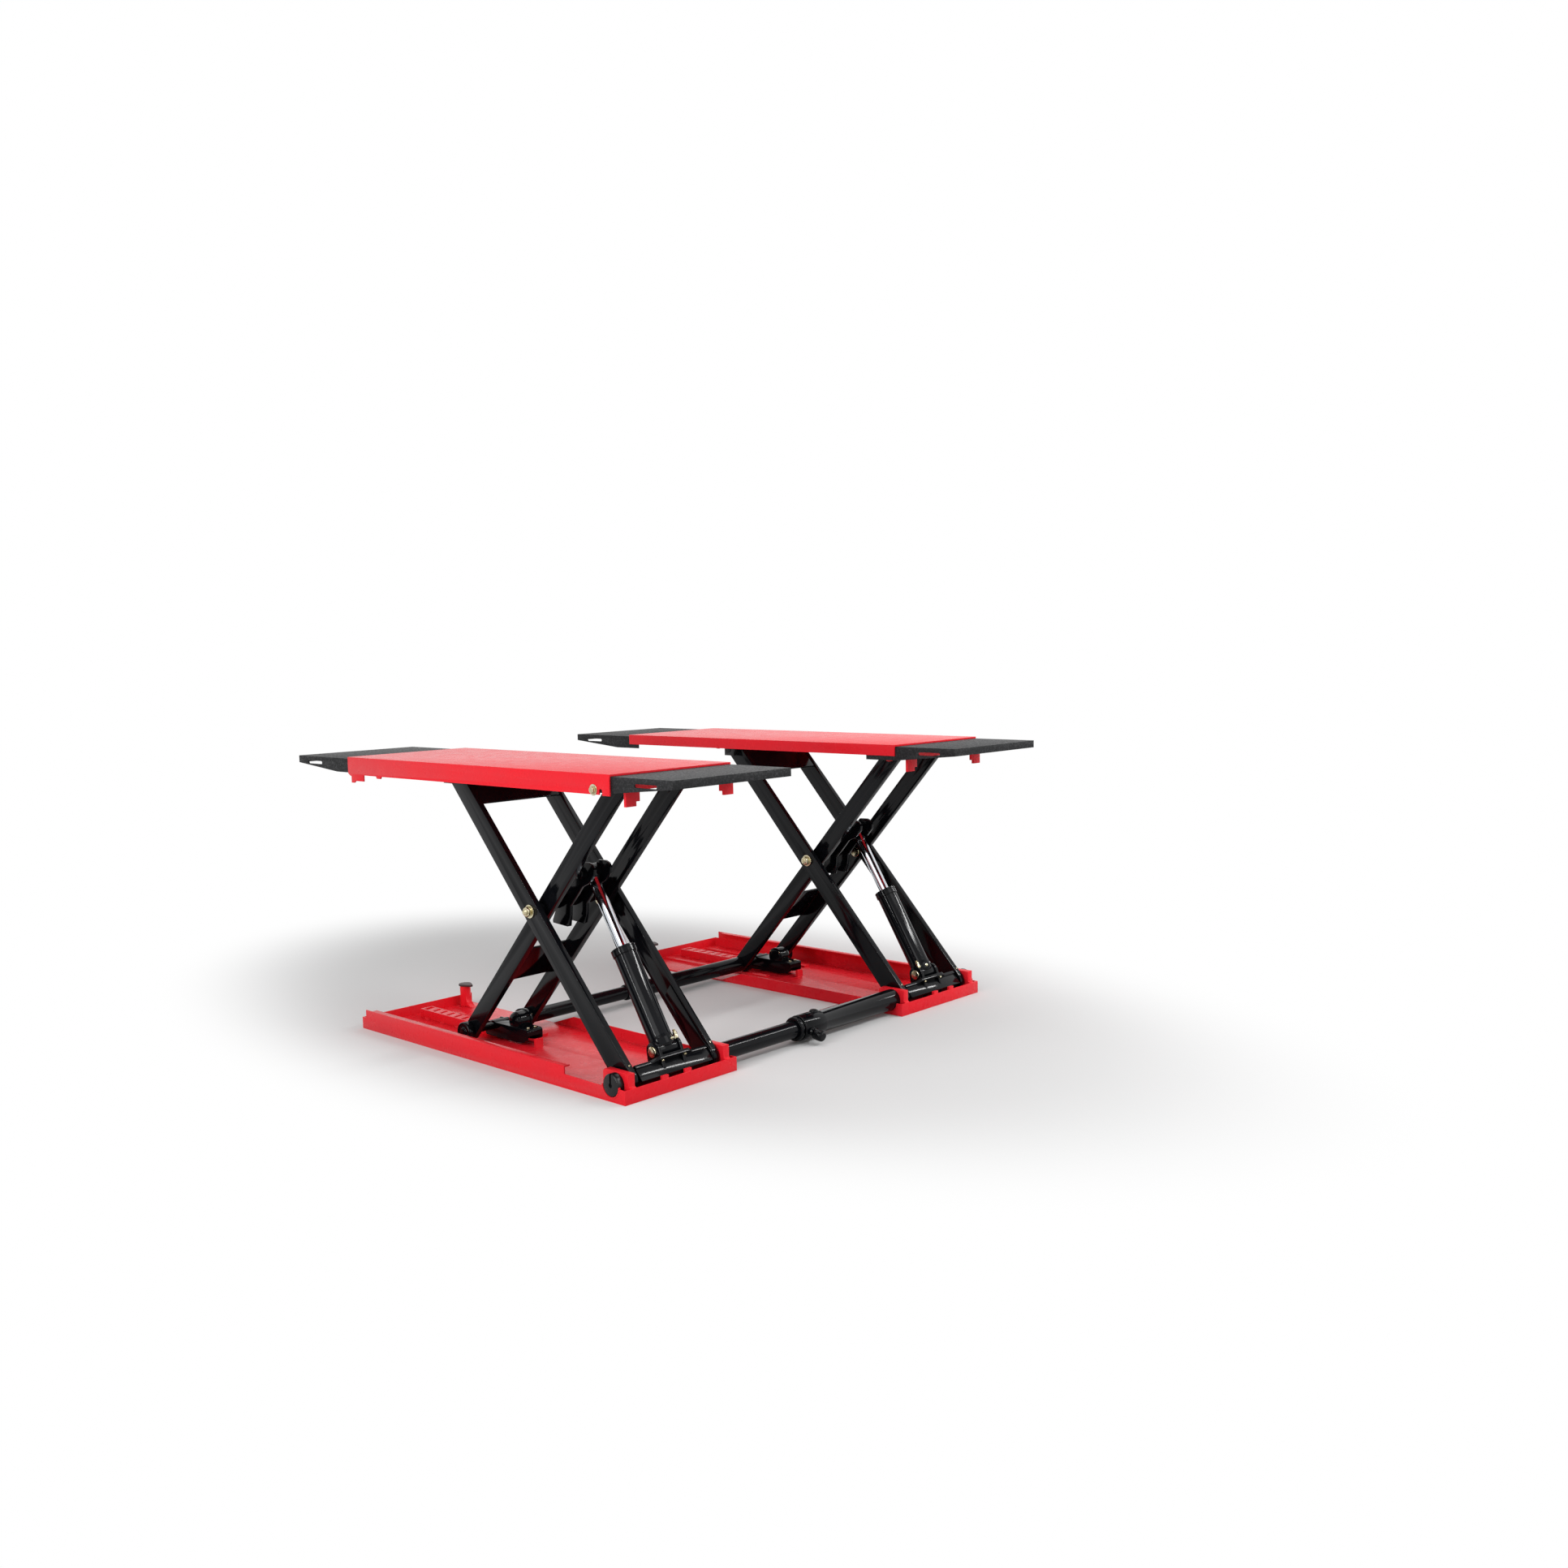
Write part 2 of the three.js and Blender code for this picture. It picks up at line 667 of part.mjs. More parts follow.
// Lock carriage: a casting on the foot shaft that straddles the rack, its two side walls below and
// behind it, with the round housing of the release cylinder on top
function lockCarriage() {
  const rearX = foot.x - carriageRearReach;
  const frontX = foot.x + carriageFrontReach;
  const side = outlineOf([
    [rearX + carriageChamfer, carriageBottom], [frontX - carriageNoseLength, carriageBottom],
    [frontX - carriageNoseLength / 3, carriageBottom + carriageNoseRise / 3],
    [frontX, carriageBottom + carriageNoseRise], [frontX, carriageTop - carriageChamfer],
    [frontX - carriageChamfer, carriageTop], [rearX + carriageChamfer, carriageTop],
    [rearX, carriageTop - carriageChamfer], [rearX, carriageBottom + carriageChamfer],
  ]);
  const channelY0 = carriageY0 + carriageWallThickness;
  const channelY1 = carriageY1 - carriageWallThickness;
  const channel = box(rearX - overrun, frontX + overrun, channelY0, channelY1, 0,
    rackTop + carriageClearance);
  const pawlRoom = box(rearX - overrun, foot.x - carriageBossRadius, channelY0, channelY1, 0,
    carriageTop + overrun);
  const pinHole = crossBore(pawlHinge, pawlPinRadius + gap, carriageY0, carriageY1);
  const boss = crossBar(foot, carriageBossRadius, carriageY0, carriageY1);
  const shaftHole = crossBore(foot, stubRadius + gap, carriageY0, carriageY1);
  return sidePlate(side, carriageY0, carriageY1).subtract(channel).subtract(pawlRoom)
    .add(boss.subtract(channel)).add(releaseCylinder()).subtract(pinHole).subtract(shaftHole);
}

// Housing of the release cylinder, rounded at its outer end and flanged at its inner end
function releaseCylinder() {
  const centre = { x: foot.x + cylinderX, z: cylinderHeight };
  const y0 = carriageY0 + cylinderInset;
  const y1 = carriageY1 - overrun;
  const nose = cylinderNoseShares.map(([radiusShare, lengthShare]) => [
    cylinderRadius * radiusShare, y0 + cylinderNoseLength * lengthShare,
  ]);
  return crossTurned(centre, [
    [0, y0], ...nose, [cylinderRadius, y1 - cylinderFlangeThickness],
    [cylinderFlangeRadius, y1 - cylinderFlangeThickness], [cylinderFlangeRadius, y1], [0, y1],
  ]);
}

// Pawl: a nosed lever that rides just over the rack, on its own pin
function lockPawl() {
  const nose = { x: foot.x - pawlNoseReach, z: rackTop + pawlNoseRadius + 2 * gap };
  const lever = sidePlate(linkOutline(pawlHinge, pawlBossRadius - gap, nose, pawlNoseRadius),
    carriageY0 + carriageWallThickness + pawlSideGap, carriageY1 - carriageWallThickness - pawlSideGap);
  return lever.add(crossBar(pawlHinge, pawlPinRadius, carriageY0 + gap, carriageY1 - gap, smallRoundSteps));
}

// Crossing pin with its washer, nut and thread end outside and its retaining collar inside
function crossingPin() {
  const washerY = outerLegY - gap - washerThickness;
  const nutY = washerY - nutThickness;
  const shankEnd = innerLegInsideY + gap;
  return union([
    crossBar(crossing, crossingPinRadius, washerY, shankEnd + pinRetainerThickness / 2, smallRoundSteps),
    crossBar(crossing, washerRadius, washerY, washerY + washerThickness, smallRoundSteps),
    crossBar(crossing, nutRadius, nutY, washerY + washerThickness / 2, 6),
    crossBar(crossing, threadRadius, nutY - threadLength, nutY + overrun, smallRoundSteps),
    crossBar(crossing, pinRetainerRadius, shankEnd, shankEnd + pinRetainerThickness, smallRoundSteps),
  ]);
}

// Outer side rail of the deck: a rear tab with a toe, a small bump and a front toe behind which the
// edge is notched
function deckOuterRail() {
  const edge = deckTopRaised - deckOuterRailDepth;
  const rearEdge = deckTopRaised - deckRailRearDepth;
  const tabX = deckRearX + rearTabInset;
  const tabFrontX = tabX + rearTabLength;
  const toeX = deckFrontX - deckRailToeLength;
  const bumpFrontX = railBumpX + railBumpLength;
  const rail = sidePlate(outlineOf([
    [deckRearX, deckTopRaised], [deckRearX, rearEdge + deckRailCornerRise],
    [deckRearX + deckRailCornerLength, rearEdge], [tabX, rearEdge], [tabX, deckTopRaised - rearTabToeDepth],
    [tabX + rearTabToeLength, deckTopRaised - rearTabToeDepth],
    [tabX + rearTabToeLength + rearTabSlope, deckTopRaised - rearTabDepth],
    [tabFrontX, deckTopRaised - rearTabDepth], [tabFrontX, edge],
    [railBumpX, edge], [railBumpX + railBumpSlope, deckTopRaised - railBumpDepth],
    [bumpFrontX - railBumpSlope, deckTopRaised - railBumpDepth], [bumpFrontX, edge],
    [toeX, edge], [toeX, deckTopRaised - deckRailToeDepth],
    [deckFrontX, deckTopRaised - deckRailToeDepth], [deckFrontX, deckTopRaised],
  ]), deckOuterY, deckOuterY + deckRailThickness);
  const notch = { x: deckFrontX - deckRailNotchInset, z: deckTopRaised - deckRailNotchDrop };
  return rail
    .subtract(crossBar(notch, deckRailNotchRadius, deckOuterY - overrun,
      deckOuterY + deckRailThickness + overrun, smallRoundSteps))
    .subtract(box(notch.x - deckRailNotchRadius, notch.x + deckRailNotchRadius, deckOuterY - overrun,
      deckOuterY + deckRailThickness + overrun, edge - overrun, notch.z))
    .subtract(crossBore(lockBolt, lockBoltRadius + gap, deckOuterY, deckOuterY + deckRailThickness));
}

// What is welded under one side of the deck: the slide block's track, the pivot rib and the front lug.
// Where an extension slides in, they stay below it.
function deckUnderSide() {
  const trackRearX = loweredLegTopX - slideBlockHalf - extensionRunMargin;
  const trackRiseX = rearExtensionInnerX + rearExtensionReach + extensionRunMargin;
  const trackFrontX = outerLegTop.x + deckTrackFrontReach;
  const trackY0 = slideBlockY() - deckTrackMargin;
  const trackY1 = outerLegY - gap;
  const trackBottom = deckUnderside - deckTrackThickness;
  const ribY0 = innerLegY - deckRibGap - deckRibThickness;
  const ribY1 = innerLegY - deckRibGap;
  const ribRearX = deckFrontX - deckRibLength;
  const ribRiseX = frontExtensionInnerX - frontExtensionTravel - extensionRunMargin;
  const ribBottom = deckTopRaised - deckRibDepth;
  const barX = deckFrontX - crossBarThickness;
  const lugFront = deckFrontX + lugReach + lugThickness;
  const lugBottom = deckTopRaised - lugDepth;
  const armY = lugY + (lugWidth - lugArmWidth) / 2;
  const lowered = { x: innerLegTop.x, z: underExtension - deckRibRadius };
  return union([
    box(trackRearX, trackFrontX, trackY0, trackY1, trackBottom, underExtension),
    box(trackRiseX, trackFrontX, trackY0, trackY1, trackBottom, deckUnderside + overrun),
    box(ribRearX, deckFrontX, ribY0, ribY1, ribBottom, underExtension),
    box(ribRearX, ribRiseX, ribY0, ribY1, ribBottom, deckUnderside + overrun),
    sidePlate(linkOutline(innerLegTop, deckRibRadius, lowered, deckRibRadius), ribY0, ribY1),
    box(barX, deckFrontX, 0, unitMidY + overrun, deckTopRaised - crossBarDepth, underExtension),
    box(barX, lugFront, armY, armY + lugArmWidth, ribBottom, underExtension),
    box(lugFront - lugThickness, lugFront, lugY, lugY + lugWidth - lugStep, lugBottom, underExtension),
    box(lugFront - lugThickness, lugFront, lugY, lugY + lugWidth, lugBottom + lugStep, underExtension),
  ]).subtract(crossBore(innerLegTop, deckPinRadius + gap, ribY0, ribY1));
}

// Deck: plate, outer and inner side rails and what is welded under each side
function deck() {
  const innerY = trayWidth + deckOverhang;
  return union([
    box(deckRearX, deckFrontX, deckOuterY, innerY, deckUnderside, deckTopRaised),
    box(deckRearX, deckFrontX, innerY - deckRailThickness, innerY, deckTopRaised - deckInnerRailDepth,
      deckTopRaised),
    deckOuterRail(),
    bothSides(deckUnderSide()),
  ]);
}

// Pin that joins a deck rib to the top of an inner leg
function deckPin() {
  const ribY0 = innerLegY - deckRibGap - deckRibThickness;
  return union([
    crossBar(innerLegTop, deckPinRadius, ribY0 - gap, innerLegInsideY + gap + overrun, smallRoundSteps),
    crossBar(innerLegTop, deckPinHeadRadius, ribY0 - gap - deckPinHeadThickness, ribY0 - gap,
      smallRoundSteps),
    crossBar(innerLegTop, deckPinHeadRadius, innerLegInsideY + gap,
      innerLegInsideY + gap + deckPinHeadThickness, smallRoundSteps),
  ]);
}

// Bolt in the outer rail that locks the front extension
function deckLockBolt() {
  const face = deckOuterY - gap;
  return union([
    crossBar(lockBolt, lockBoltRadius, face - overrun, deckOuterY + deckRailThickness - gap,
      smallRoundSteps),
    crossBar(lockBolt, lockBoltWasherRadius, face - lockBoltWasherThickness, face, smallRoundSteps),
    crossBar(lockBolt, lockBoltHeadRadius, face - lockBoltWasherThickness - lockBoltHeadThickness,
      face - lockBoltWasherThickness / 2, 6),
  ]);
}

// Extension: a channel that slides under the deck plate. Its side flanges taper to the outer end,
// have a slot each and end in a turned-down lip.
function extension(innerX, outward) {
  const y0 = deckOuterY + deckRailThickness + extensionSideGap;
  const outerX = innerX + outward * extensionLength;
  const inward = (distance) => outerX - outward * distance;
  const flange = sidePlate(outlineOf([
    [innerX, extensionTop], [innerX, extensionTop - extensionDepth],
    [inward(extensionTaperLength), extensionTop - extensionDepth],
    [outerX, extensionTop - extensionTipDepth], [outerX, extensionTop],
  ]), y0, y0 + extensionThickness);
  const slotRadius = extensionSlotHeight / 2;
  const slotZ = extensionTop - extensionSlotDrop;
  const slot = sidePlate(linkOutline({ x: inward(extensionSlotInset + slotRadius), z: slotZ }, slotRadius,
    { x: inward(extensionSlotInset + extensionSlotLength - slotRadius), z: slotZ }, slotRadius),
  y0 - overrun, y0 + extensionThickness + overrun);
  const [x0, x1] = [innerX, outerX].sort((a, b) => a - b);
  const [lipX0, lipX1] = [inward(extensionThickness), outerX].sort((a, b) => a - b);
  return bothSides(flange.subtract(slot))
    .add(box(x0, x1, y0, trayWidth - y0, extensionTop - extensionThickness, extensionTop))
    .add(box(lipX0, lipX1, y0, trayWidth - y0, extensionTop - extensionTipDepth, extensionTop));
}

// Front tube of the near unit, with the ram's foot bracket welded to it
function frontTubeWithBracket(y0, y1) {
  const cheekY = unitMidY - barrelRadius - 2 * gap;
  const cheek = sidePlate(linkOutline(frontPivot, footBracketTubeRadius, ramFoot, footBracketEyeRadius),
    cheekY - footBracketThickness, cheekY);
  const saddle = legBox(frontPivot, outerLegDirection, -frontTubeRadius, frontTubeRadius - overrun * 2,
    unitMidY - saddleHalfWidth, unitMidY + saddleHalfWidth,
    frontTubeRadius - saddleThickness / 2, frontTubeRadius + saddleThickness / 2);
  const pinHole = bothSides(crossBore(ramFoot, ramPinRadius + gap, cheekY - footBracketThickness, cheekY));
  const tube = crossBar(frontPivot, frontTubeRadius, y0, y1);
  const bore = crossBar(frontPivot, frontTubeRadius - frontTubeWall, y0 - overrun, y1 + overrun);
  return tube.add(bothSides(cheek)).add(saddle).add(bracketWeb()).subtract(bore).subtract(pinHole);
}

// Web of the foot bracket: a plate across the front tube that narrows in a curve to its level top
function bracketWeb() {
  const shoulderHalfWidth = saddleHalfWidth - webStep;
  const outline = new THREE.Shape();
  outline.moveTo(unitMidY - saddleHalfWidth, webBase);
  outline.lineTo(unitMidY + saddleHalfWidth, webBase);
  outline.lineTo(unitMidY + saddleHalfWidth, webShoulder);
  outline.lineTo(unitMidY + shoulderHalfWidth, webShoulder + webStep);
  outline.quadraticCurveTo(unitMidY + webTopHalfWidth + webStep, webShoulder + webStep,
    unitMidY + webTopHalfWidth, webTop);
  outline.lineTo(unitMidY - webTopHalfWidth, webTop);
  outline.quadraticCurveTo(unitMidY - webTopHalfWidth - webStep, webShoulder + webStep,
    unitMidY - shoulderHalfWidth, webShoulder + webStep);
  outline.lineTo(unitMidY - saddleHalfWidth, webShoulder);
  const geometry = new THREE.ExtrudeGeometry(outline, {
    depth: webThickness, bevelEnabled: false, curveSegments,
  });
  geometry.rotateX(Math.PI / 2);
  geometry.rotateZ(Math.PI / 2);
  geometry.translate(webStart, 0, 0);
  return onLeg(solidOf(geometry), frontPivot, outerLegDirection);
}

function frontEndCap() {
  const headEnd = earY - gap;
  const tubeStart = earY;
  return crossTurned(frontPivot, [
    [0, endCapFaceY], [endCapRadius - wallThickness / 2, endCapFaceY],
    [endCapRadius, endCapFaceY + wallThickness / 2], [endCapRadius, headEnd],
    [frontTubeRadius - frontTubeWall - gap, headEnd],
    [frontTubeRadius - frontTubeWall - gap, tubeStart + endCapPlugLength],
    [0, tubeStart + endCapPlugLength],
  ]);
}

// Sleeve of the front tube on the far unit's side, drawn over the near unit's tube, with a beaded end
function frontSleeve() {
  const bore = boreRadius(frontTubeRadius + gap, roundSteps);
  const outer = frontTubeRadius + gap + frontSleeveWall;
  const y0 = midY + sleeveBeadStart;
  const y1 = overallWidth - trayWidth + earY - gap;
  return crossTurned(frontPivot, [
    [bore, y0], [sleeveBeadRadius, y0], [sleeveBeadRadius, y0 + sleeveBeadLength],
    [outer, y0 + sleeveBeadLength], [outer, y1], [bore, y1], [bore, y0],
  ]);
}

// Clamp collar on the sleeve, with a boss for its screw and a bump on top
function clampCollar() {
  const inner = frontTubeRadius + 2 * gap + frontSleeveWall;
  const y0 = midY + clampCollarStart;
  const ring = tubeAlongY(frontPivot, inner, clampCollarRadius, y0, y0 + clampCollarLength);
  const start = inner + overrun;
  const boss = radialBar(clampBossRadius, clampBossRadius, clampLean, clampScrewY, start, clampBossLength);
  const bump = radialBar(clampBumpRadius, clampBossRadius, 0, clampBumpY, start, clampBumpHeight);
  const holeRadius = boreRadius(clampScrewRadius + gap, smallRoundSteps);
  const hole = radialBar(holeRadius, holeRadius, clampLean, clampScrewY, inner - overrun,
    clampBossLength + overrun);
  return ring.add(boss).add(bump).subtract(hole);
}

// A bar that stands out from the front tube's axis, leaned to the front, at a y from the lift's middle
function radialBar(outerRadius, innerRadius, lean, y, from, to) {
  const geometry = new THREE.CylinderGeometry(outerRadius, innerRadius, to - from, smallRoundSteps);
  geometry.translate(0, (from + to) / 2, 0);
  geometry.rotateX(Math.PI / 2);
  geometry.rotateY(lean);
  geometry.translate(frontPivot.x, midY + y, frontPivot.z);
  return solidOf(geometry);
}

function clampScrew() {
  const start = frontTubeRadius + 3 * gap + frontSleeveWall;
  const end = start + clampScrewLength;
  return union([
    radialBar(clampScrewRadius, clampScrewRadius, clampLean, clampScrewY, start, end),
    radialBar(clampGripEndRadius, clampGripRadius, clampLean, clampScrewY, end - overrun,
      end + clampGripLength),
  ]);
}

// Ram: barrel with its foot eye, and the rod with its piston and head eye

// A turned shape along the ram's axis, its profile as [radius, distance from the foot pin]
function ramTurned(profile) {
  const geometry = new THREE.LatheGeometry(profile.map(([r, s]) => new THREE.Vector2(r, s)), roundSteps);
  const lean = Math.atan2(ramDirection.x, ramDirection.z);
  geometry.rotateX(Math.PI / 2);
  geometry.rotateY(lean);
  geometry.translate(ramFoot.x, unitMidY, ramFoot.z);
  return solidOf(geometry);
}

function ramBarrel() {
  const gland = ramRodRadius + gap;
  const body = ramTurned([
    [0, barrelStart - barrelRadius / 3], [barrelRadius * 2 / 3, barrelStart - barrelRadius / 3],
    [barrelRadius, barrelStart],
    [barrelRadius, barrelLength - glandLength], [glandRadius, barrelLength - glandLength],
    [glandRadius, barrelLength], [gland, barrelLength], [gland, barrelLength - glandLength],
    [barrelBoreRadius, barrelLength - glandLength], [barrelBoreRadius, barrelBoreStart],
    [0, barrelBoreStart],
  ]);
  const eye = crossBar(ramFoot, eyeRadius, unitMidY - barrelRadius, unitMidY + barrelRadius);
  return body.add(eye)
    .subtract(crossBore(ramFoot, ramPinRadius + gap, unitMidY - barrelRadius, unitMidY + barrelRadius));
}

function ramRod() {
  const rodEnd = ramLength - eyeRadius - gap;
  return ramTurned([
    [0, pistonFromFoot], [pistonRadius, pistonFromFoot], [pistonRadius, pistonFromFoot + pistonLength],
    [ramRodRadius, pistonFromFoot + pistonLength], [ramRodRadius, rodEnd], [0, rodEnd],
  ]);
}

function ramRodEye() {
  const collarStart = ramLength - eyeRadius;
  const eye = crossBar(ramHead, eyeRadius, unitMidY - rodEyeHalfWidth, unitMidY + rodEyeHalfWidth);
  return eye.add(ramTurned([
    [0, collarStart], [ramRodRadius + wallThickness, collarStart],
    [ramRodRadius + wallThickness, ramLength - wallThickness], [0, ramLength - wallThickness],
  ]));
}

function ramFootPin() {
  const reach = barrelRadius + 2 * gap + footBracketThickness + gap;
  const head = reach + ramPinHeadThickness;
  const headRadius = ramPinRadius + ramPinHeadThickness;
  return union([
    crossBar(ramFoot, ramPinRadius, unitMidY - reach - gap, unitMidY + reach + gap, smallRoundSteps),
    crossBar(ramFoot, headRadius, unitMidY - head, unitMidY - reach, smallRoundSteps),
    crossBar(ramFoot, headRadius, unitMidY + reach, unitMidY + head, smallRoundSteps),
  ]);
}

// Materials
const redPaint = new THREE.MeshStandardMaterial({ color: 0xd81f2a, roughness: 0.35, metalness: 0.1 });
const blackPaint = new THREE.MeshStandardMaterial({ color: 0x17181a, roughness: 0.3, metalness: 0.1 });
const gritBlack = new THREE.MeshStandardMaterial({ color: 0x1c1c1e, roughness: 0.9, metalness: 0 });
const zincSteel = new THREE.MeshStandardMaterial({ color: 0xb9b7a8, roughness: 0.35, metalness: 0.9 });
const chrome = new THREE.MeshStandardMaterial({ color: 0xe4e6ea, roughness: 0.08, metalness: 1 });
const darkSteel = new THREE.MeshStandardMaterial({ color: 0x3a3d42, roughness: 0.4, metalness: 0.8 });
const capPlastic = new THREE.MeshStandardMaterial({ color: 0x2a1c1c, roughness: 0.5, metalness: 0 });

// Units: the near one stands at the front of the view, the far one is its mirror image
const frontTubeEndY = midY + slideInReach;
const rearTubeStartY = trayWidth - innerLegY + gap;

function unitPieces(near) {
  const tubeStart = earY;
  const tubeEnd = near ? frontTubeEndY : trayWidth - earY + frontSleeveOverlap;
  return [
    ['tray', tray(), redPaint],
    ['lock_rack', rack(), redPaint],
    ['corner_post', post(), redPaint],
    ['corner_post_cap', postCap(), capPlastic],
    ['outer_legs', outerLegs(), blackPaint],
    ['front_tube', frontTubeWithBracket(tubeStart, tubeEnd), blackPaint],
    ['front_tube_cap', frontEndCap(), darkSteel],
    ['slide_block_outer', slideBlock(), darkSteel],
    ['slide_block_inner', acrossUnit(slideBlock()), darkSteel],
    ['inner_legs', innerLegs(), blackPaint],
    ['foot_roller_outer', footRoller(outerRollerY), blackPaint],
    ['foot_roller_inner', footRoller(innerRollerY), blackPaint],
    ['lock_carriage', lockCarriage(), blackPaint],
    ['lock_pawl', lockPawl(), darkSteel],
    ['crossing_pin_outer', crossingPin(), zincSteel],
    ['crossing_pin_inner', acrossUnit(crossingPin()), zincSteel],
    ['deck', deck(), redPaint],
    ['deck_pin_outer', deckPin(), zincSteel],
    ['deck_pin_inner', acrossUnit(deckPin()), zincSteel],
    ['deck_lock_bolt', deckLockBolt(), zincSteel],
    ['front_extension', extension(frontExtensionInnerX, 1), gritBlack],
    ['rear_extension', extension(rearExtensionInnerX, -1), gritBlack],
    ['ram_barrel', ramBarrel(), blackPaint],
    ['ram_rod', ramRod(), chrome],
    ['ram_rod_eye', ramRodEye(), blackPaint],
    ['ram_foot_pin', ramFootPin(), zincSteel],
  ];
}

// Pieces between the units
function betweenUnits() {
  return [
    ['front_sleeve', frontSleeve(), blackPaint],
    ['clamp_collar', clampCollar(), blackPaint],
    ['clamp_screw', clampScrew(), blackPaint],
    ['near_rear_tube', tubeAlongY(foot, rearTubeRadius - frontTubeWall, rearTubeRadius,
      rearTubeStartY, midY + slideInReach), blackPaint],
    ['far_rear_sleeve', tubeAlongY(foot, rearTubeRadius + gap, rearTubeRadius + gap + rearSleeveWall,
      midY - rearSleeveOverlap, overallWidth - rearTubeStartY), blackPaint],
  ];
}

const lift = new THREE.Group();

function addMesh(name, solid, material, parent) {
  const mesh = new THREE.Mesh(geometryOf(solid), material);
  mesh.name = name;
  parent.add(mesh);
}

const nearUnit = new THREE.Group();
nearUnit.position.set(-liftMiddleX, -midY, 0);
unitPieces(true).forEach(([name, solid, material]) => addMesh(`near_${name}`, solid, material, nearUnit));

const farUnit = new THREE.Group();
farUnit.position.set(-liftMiddleX, midY, 0);
unitPieces(false).forEach(([name, solid, material]) => {
  addMesh(`far_${name}`, solid.mirror([0, 1, 0]), material, farUnit);
});

const middle = new THREE.Group();
middle.position.set(-liftMiddleX, -midY, 0);
betweenUnits().forEach(([name, solid, material]) => addMesh(name, solid, material, middle));

lift.add(nearUnit, farUnit, middle);

export default lift;
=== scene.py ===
"""Portable scissor car lift: finishes and fine pieces built round the fixed frame of the model."""

import json
import logging
import math
from dataclasses import dataclass
from enum import Enum
from typing import Callable, Sequence

import bpy
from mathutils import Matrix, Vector

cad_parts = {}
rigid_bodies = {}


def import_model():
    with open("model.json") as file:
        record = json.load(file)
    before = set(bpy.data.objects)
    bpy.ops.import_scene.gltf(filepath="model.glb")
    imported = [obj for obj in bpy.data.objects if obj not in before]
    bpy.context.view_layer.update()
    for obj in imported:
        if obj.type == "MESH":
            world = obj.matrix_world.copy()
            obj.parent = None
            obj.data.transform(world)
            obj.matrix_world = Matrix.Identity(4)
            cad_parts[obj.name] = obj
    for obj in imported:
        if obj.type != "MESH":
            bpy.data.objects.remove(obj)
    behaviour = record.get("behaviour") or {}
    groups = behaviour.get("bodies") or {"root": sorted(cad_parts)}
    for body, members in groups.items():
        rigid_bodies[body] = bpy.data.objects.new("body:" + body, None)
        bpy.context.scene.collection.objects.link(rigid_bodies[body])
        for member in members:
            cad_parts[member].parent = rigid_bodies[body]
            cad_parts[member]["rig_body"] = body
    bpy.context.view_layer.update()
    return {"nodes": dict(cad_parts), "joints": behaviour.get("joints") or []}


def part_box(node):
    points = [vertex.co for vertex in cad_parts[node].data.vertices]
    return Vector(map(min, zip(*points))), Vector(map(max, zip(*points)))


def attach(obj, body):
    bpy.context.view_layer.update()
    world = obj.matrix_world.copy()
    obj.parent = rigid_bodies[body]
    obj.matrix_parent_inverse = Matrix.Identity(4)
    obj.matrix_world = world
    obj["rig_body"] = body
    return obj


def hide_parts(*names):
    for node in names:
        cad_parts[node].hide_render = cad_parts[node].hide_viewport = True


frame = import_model()

log = logging.getLogger("scissor_lift")
MM = 0.001

# Corners nearer than this are merged, and a drill stands out of its work by so many millimetres
MERGE = 0.002 * MM
CLEAR_MM = 4.0

Piece = bpy.types.Object
Material = bpy.types.Material
Tree = bpy.types.NodeTree
Node = bpy.types.Node
Socket = bpy.types.NodeSocket
Colour = tuple[float, float, float, float]
Stops = Sequence[tuple[float, Colour]]
Point = tuple[float, float, float]
Pair = tuple[float, float]
Profile = Sequence[Pair]
Run = tuple[Point, Point]

# Places that the frame gives, and the width of a tray, from which the rest is measured
JOINTS = {joint["name"]: joint for joint in frame["joints"]}
REAR_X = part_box("near_tray")[0].x
MID_Y = abs(JOINTS["near_lift"]["pos_m"][1])
TRAY_WIDTH = 475.0
MIDDLE = TRAY_WIDTH / 2


class Side(Enum):
    """Which of the two units a piece belongs to; the value is the way from its outer side inward."""

    NEAR = 1
    FAR = -1

    @property
    def tag(self) -> str:
        """Prefix of this unit's nodes and bodies."""
        return self.name.lower()


# Shader helpers

def linear(hex_colour: str) -> Colour:
    """Turns an sRGB hex value into the linear colour that a shader takes.

    Args:
        hex_colour: Six hex digits after a hash sign.

    Returns:
        Linear red, green, blue and an alpha of one.
    """
    channels = [int(hex_colour[i:i + 2], 16) / 255 for i in (1, 3, 5)]
    light = [c / 12.92 if c <= 0.04045 else ((c + 0.055) / 1.055) ** 2.4 for c in channels]
    return (*light, 1.0)


def add_node(tree: Tree, kind: str, inputs: dict[str | int, object] | None = None,
             stops: Stops = (), **settings: object) -> Node:
    """Adds a shader node with its settings, and fills or links its inputs.

    Args:
        tree: The node tree that gets the node.
        kind: The node's type name.
        inputs: By name or number, a value, a socket, or a node whose first output is meant.
        stops: Places and colours of its ramp, where it has one.
        settings: Properties of the node itself.

    Returns:
        The new node.
    """
    made = tree.nodes.new(kind)
    for name, value in settings.items():
        setattr(made, name, value)
    for number, (place, colour) in enumerate(stops):
        element = made.color_ramp.elements[number]
        element.position, element.color = place, colour
    for name, value in (inputs or {}).items():
        source = value.outputs[0] if isinstance(value, Node) else value
        if isinstance(source, Socket):
            tree.links.new(source, made.inputs[name])
        else:
            made.inputs[name].default_value = source
    return made


def grey(value: float) -> Colour:
    """A linear grey."""
    return (value, value, value, 1.0)


def pitch(grain_mm: float) -> float:
    """Scale of a pattern whose grains are this many millimetres across."""
    return 1 / (grain_mm * MM)


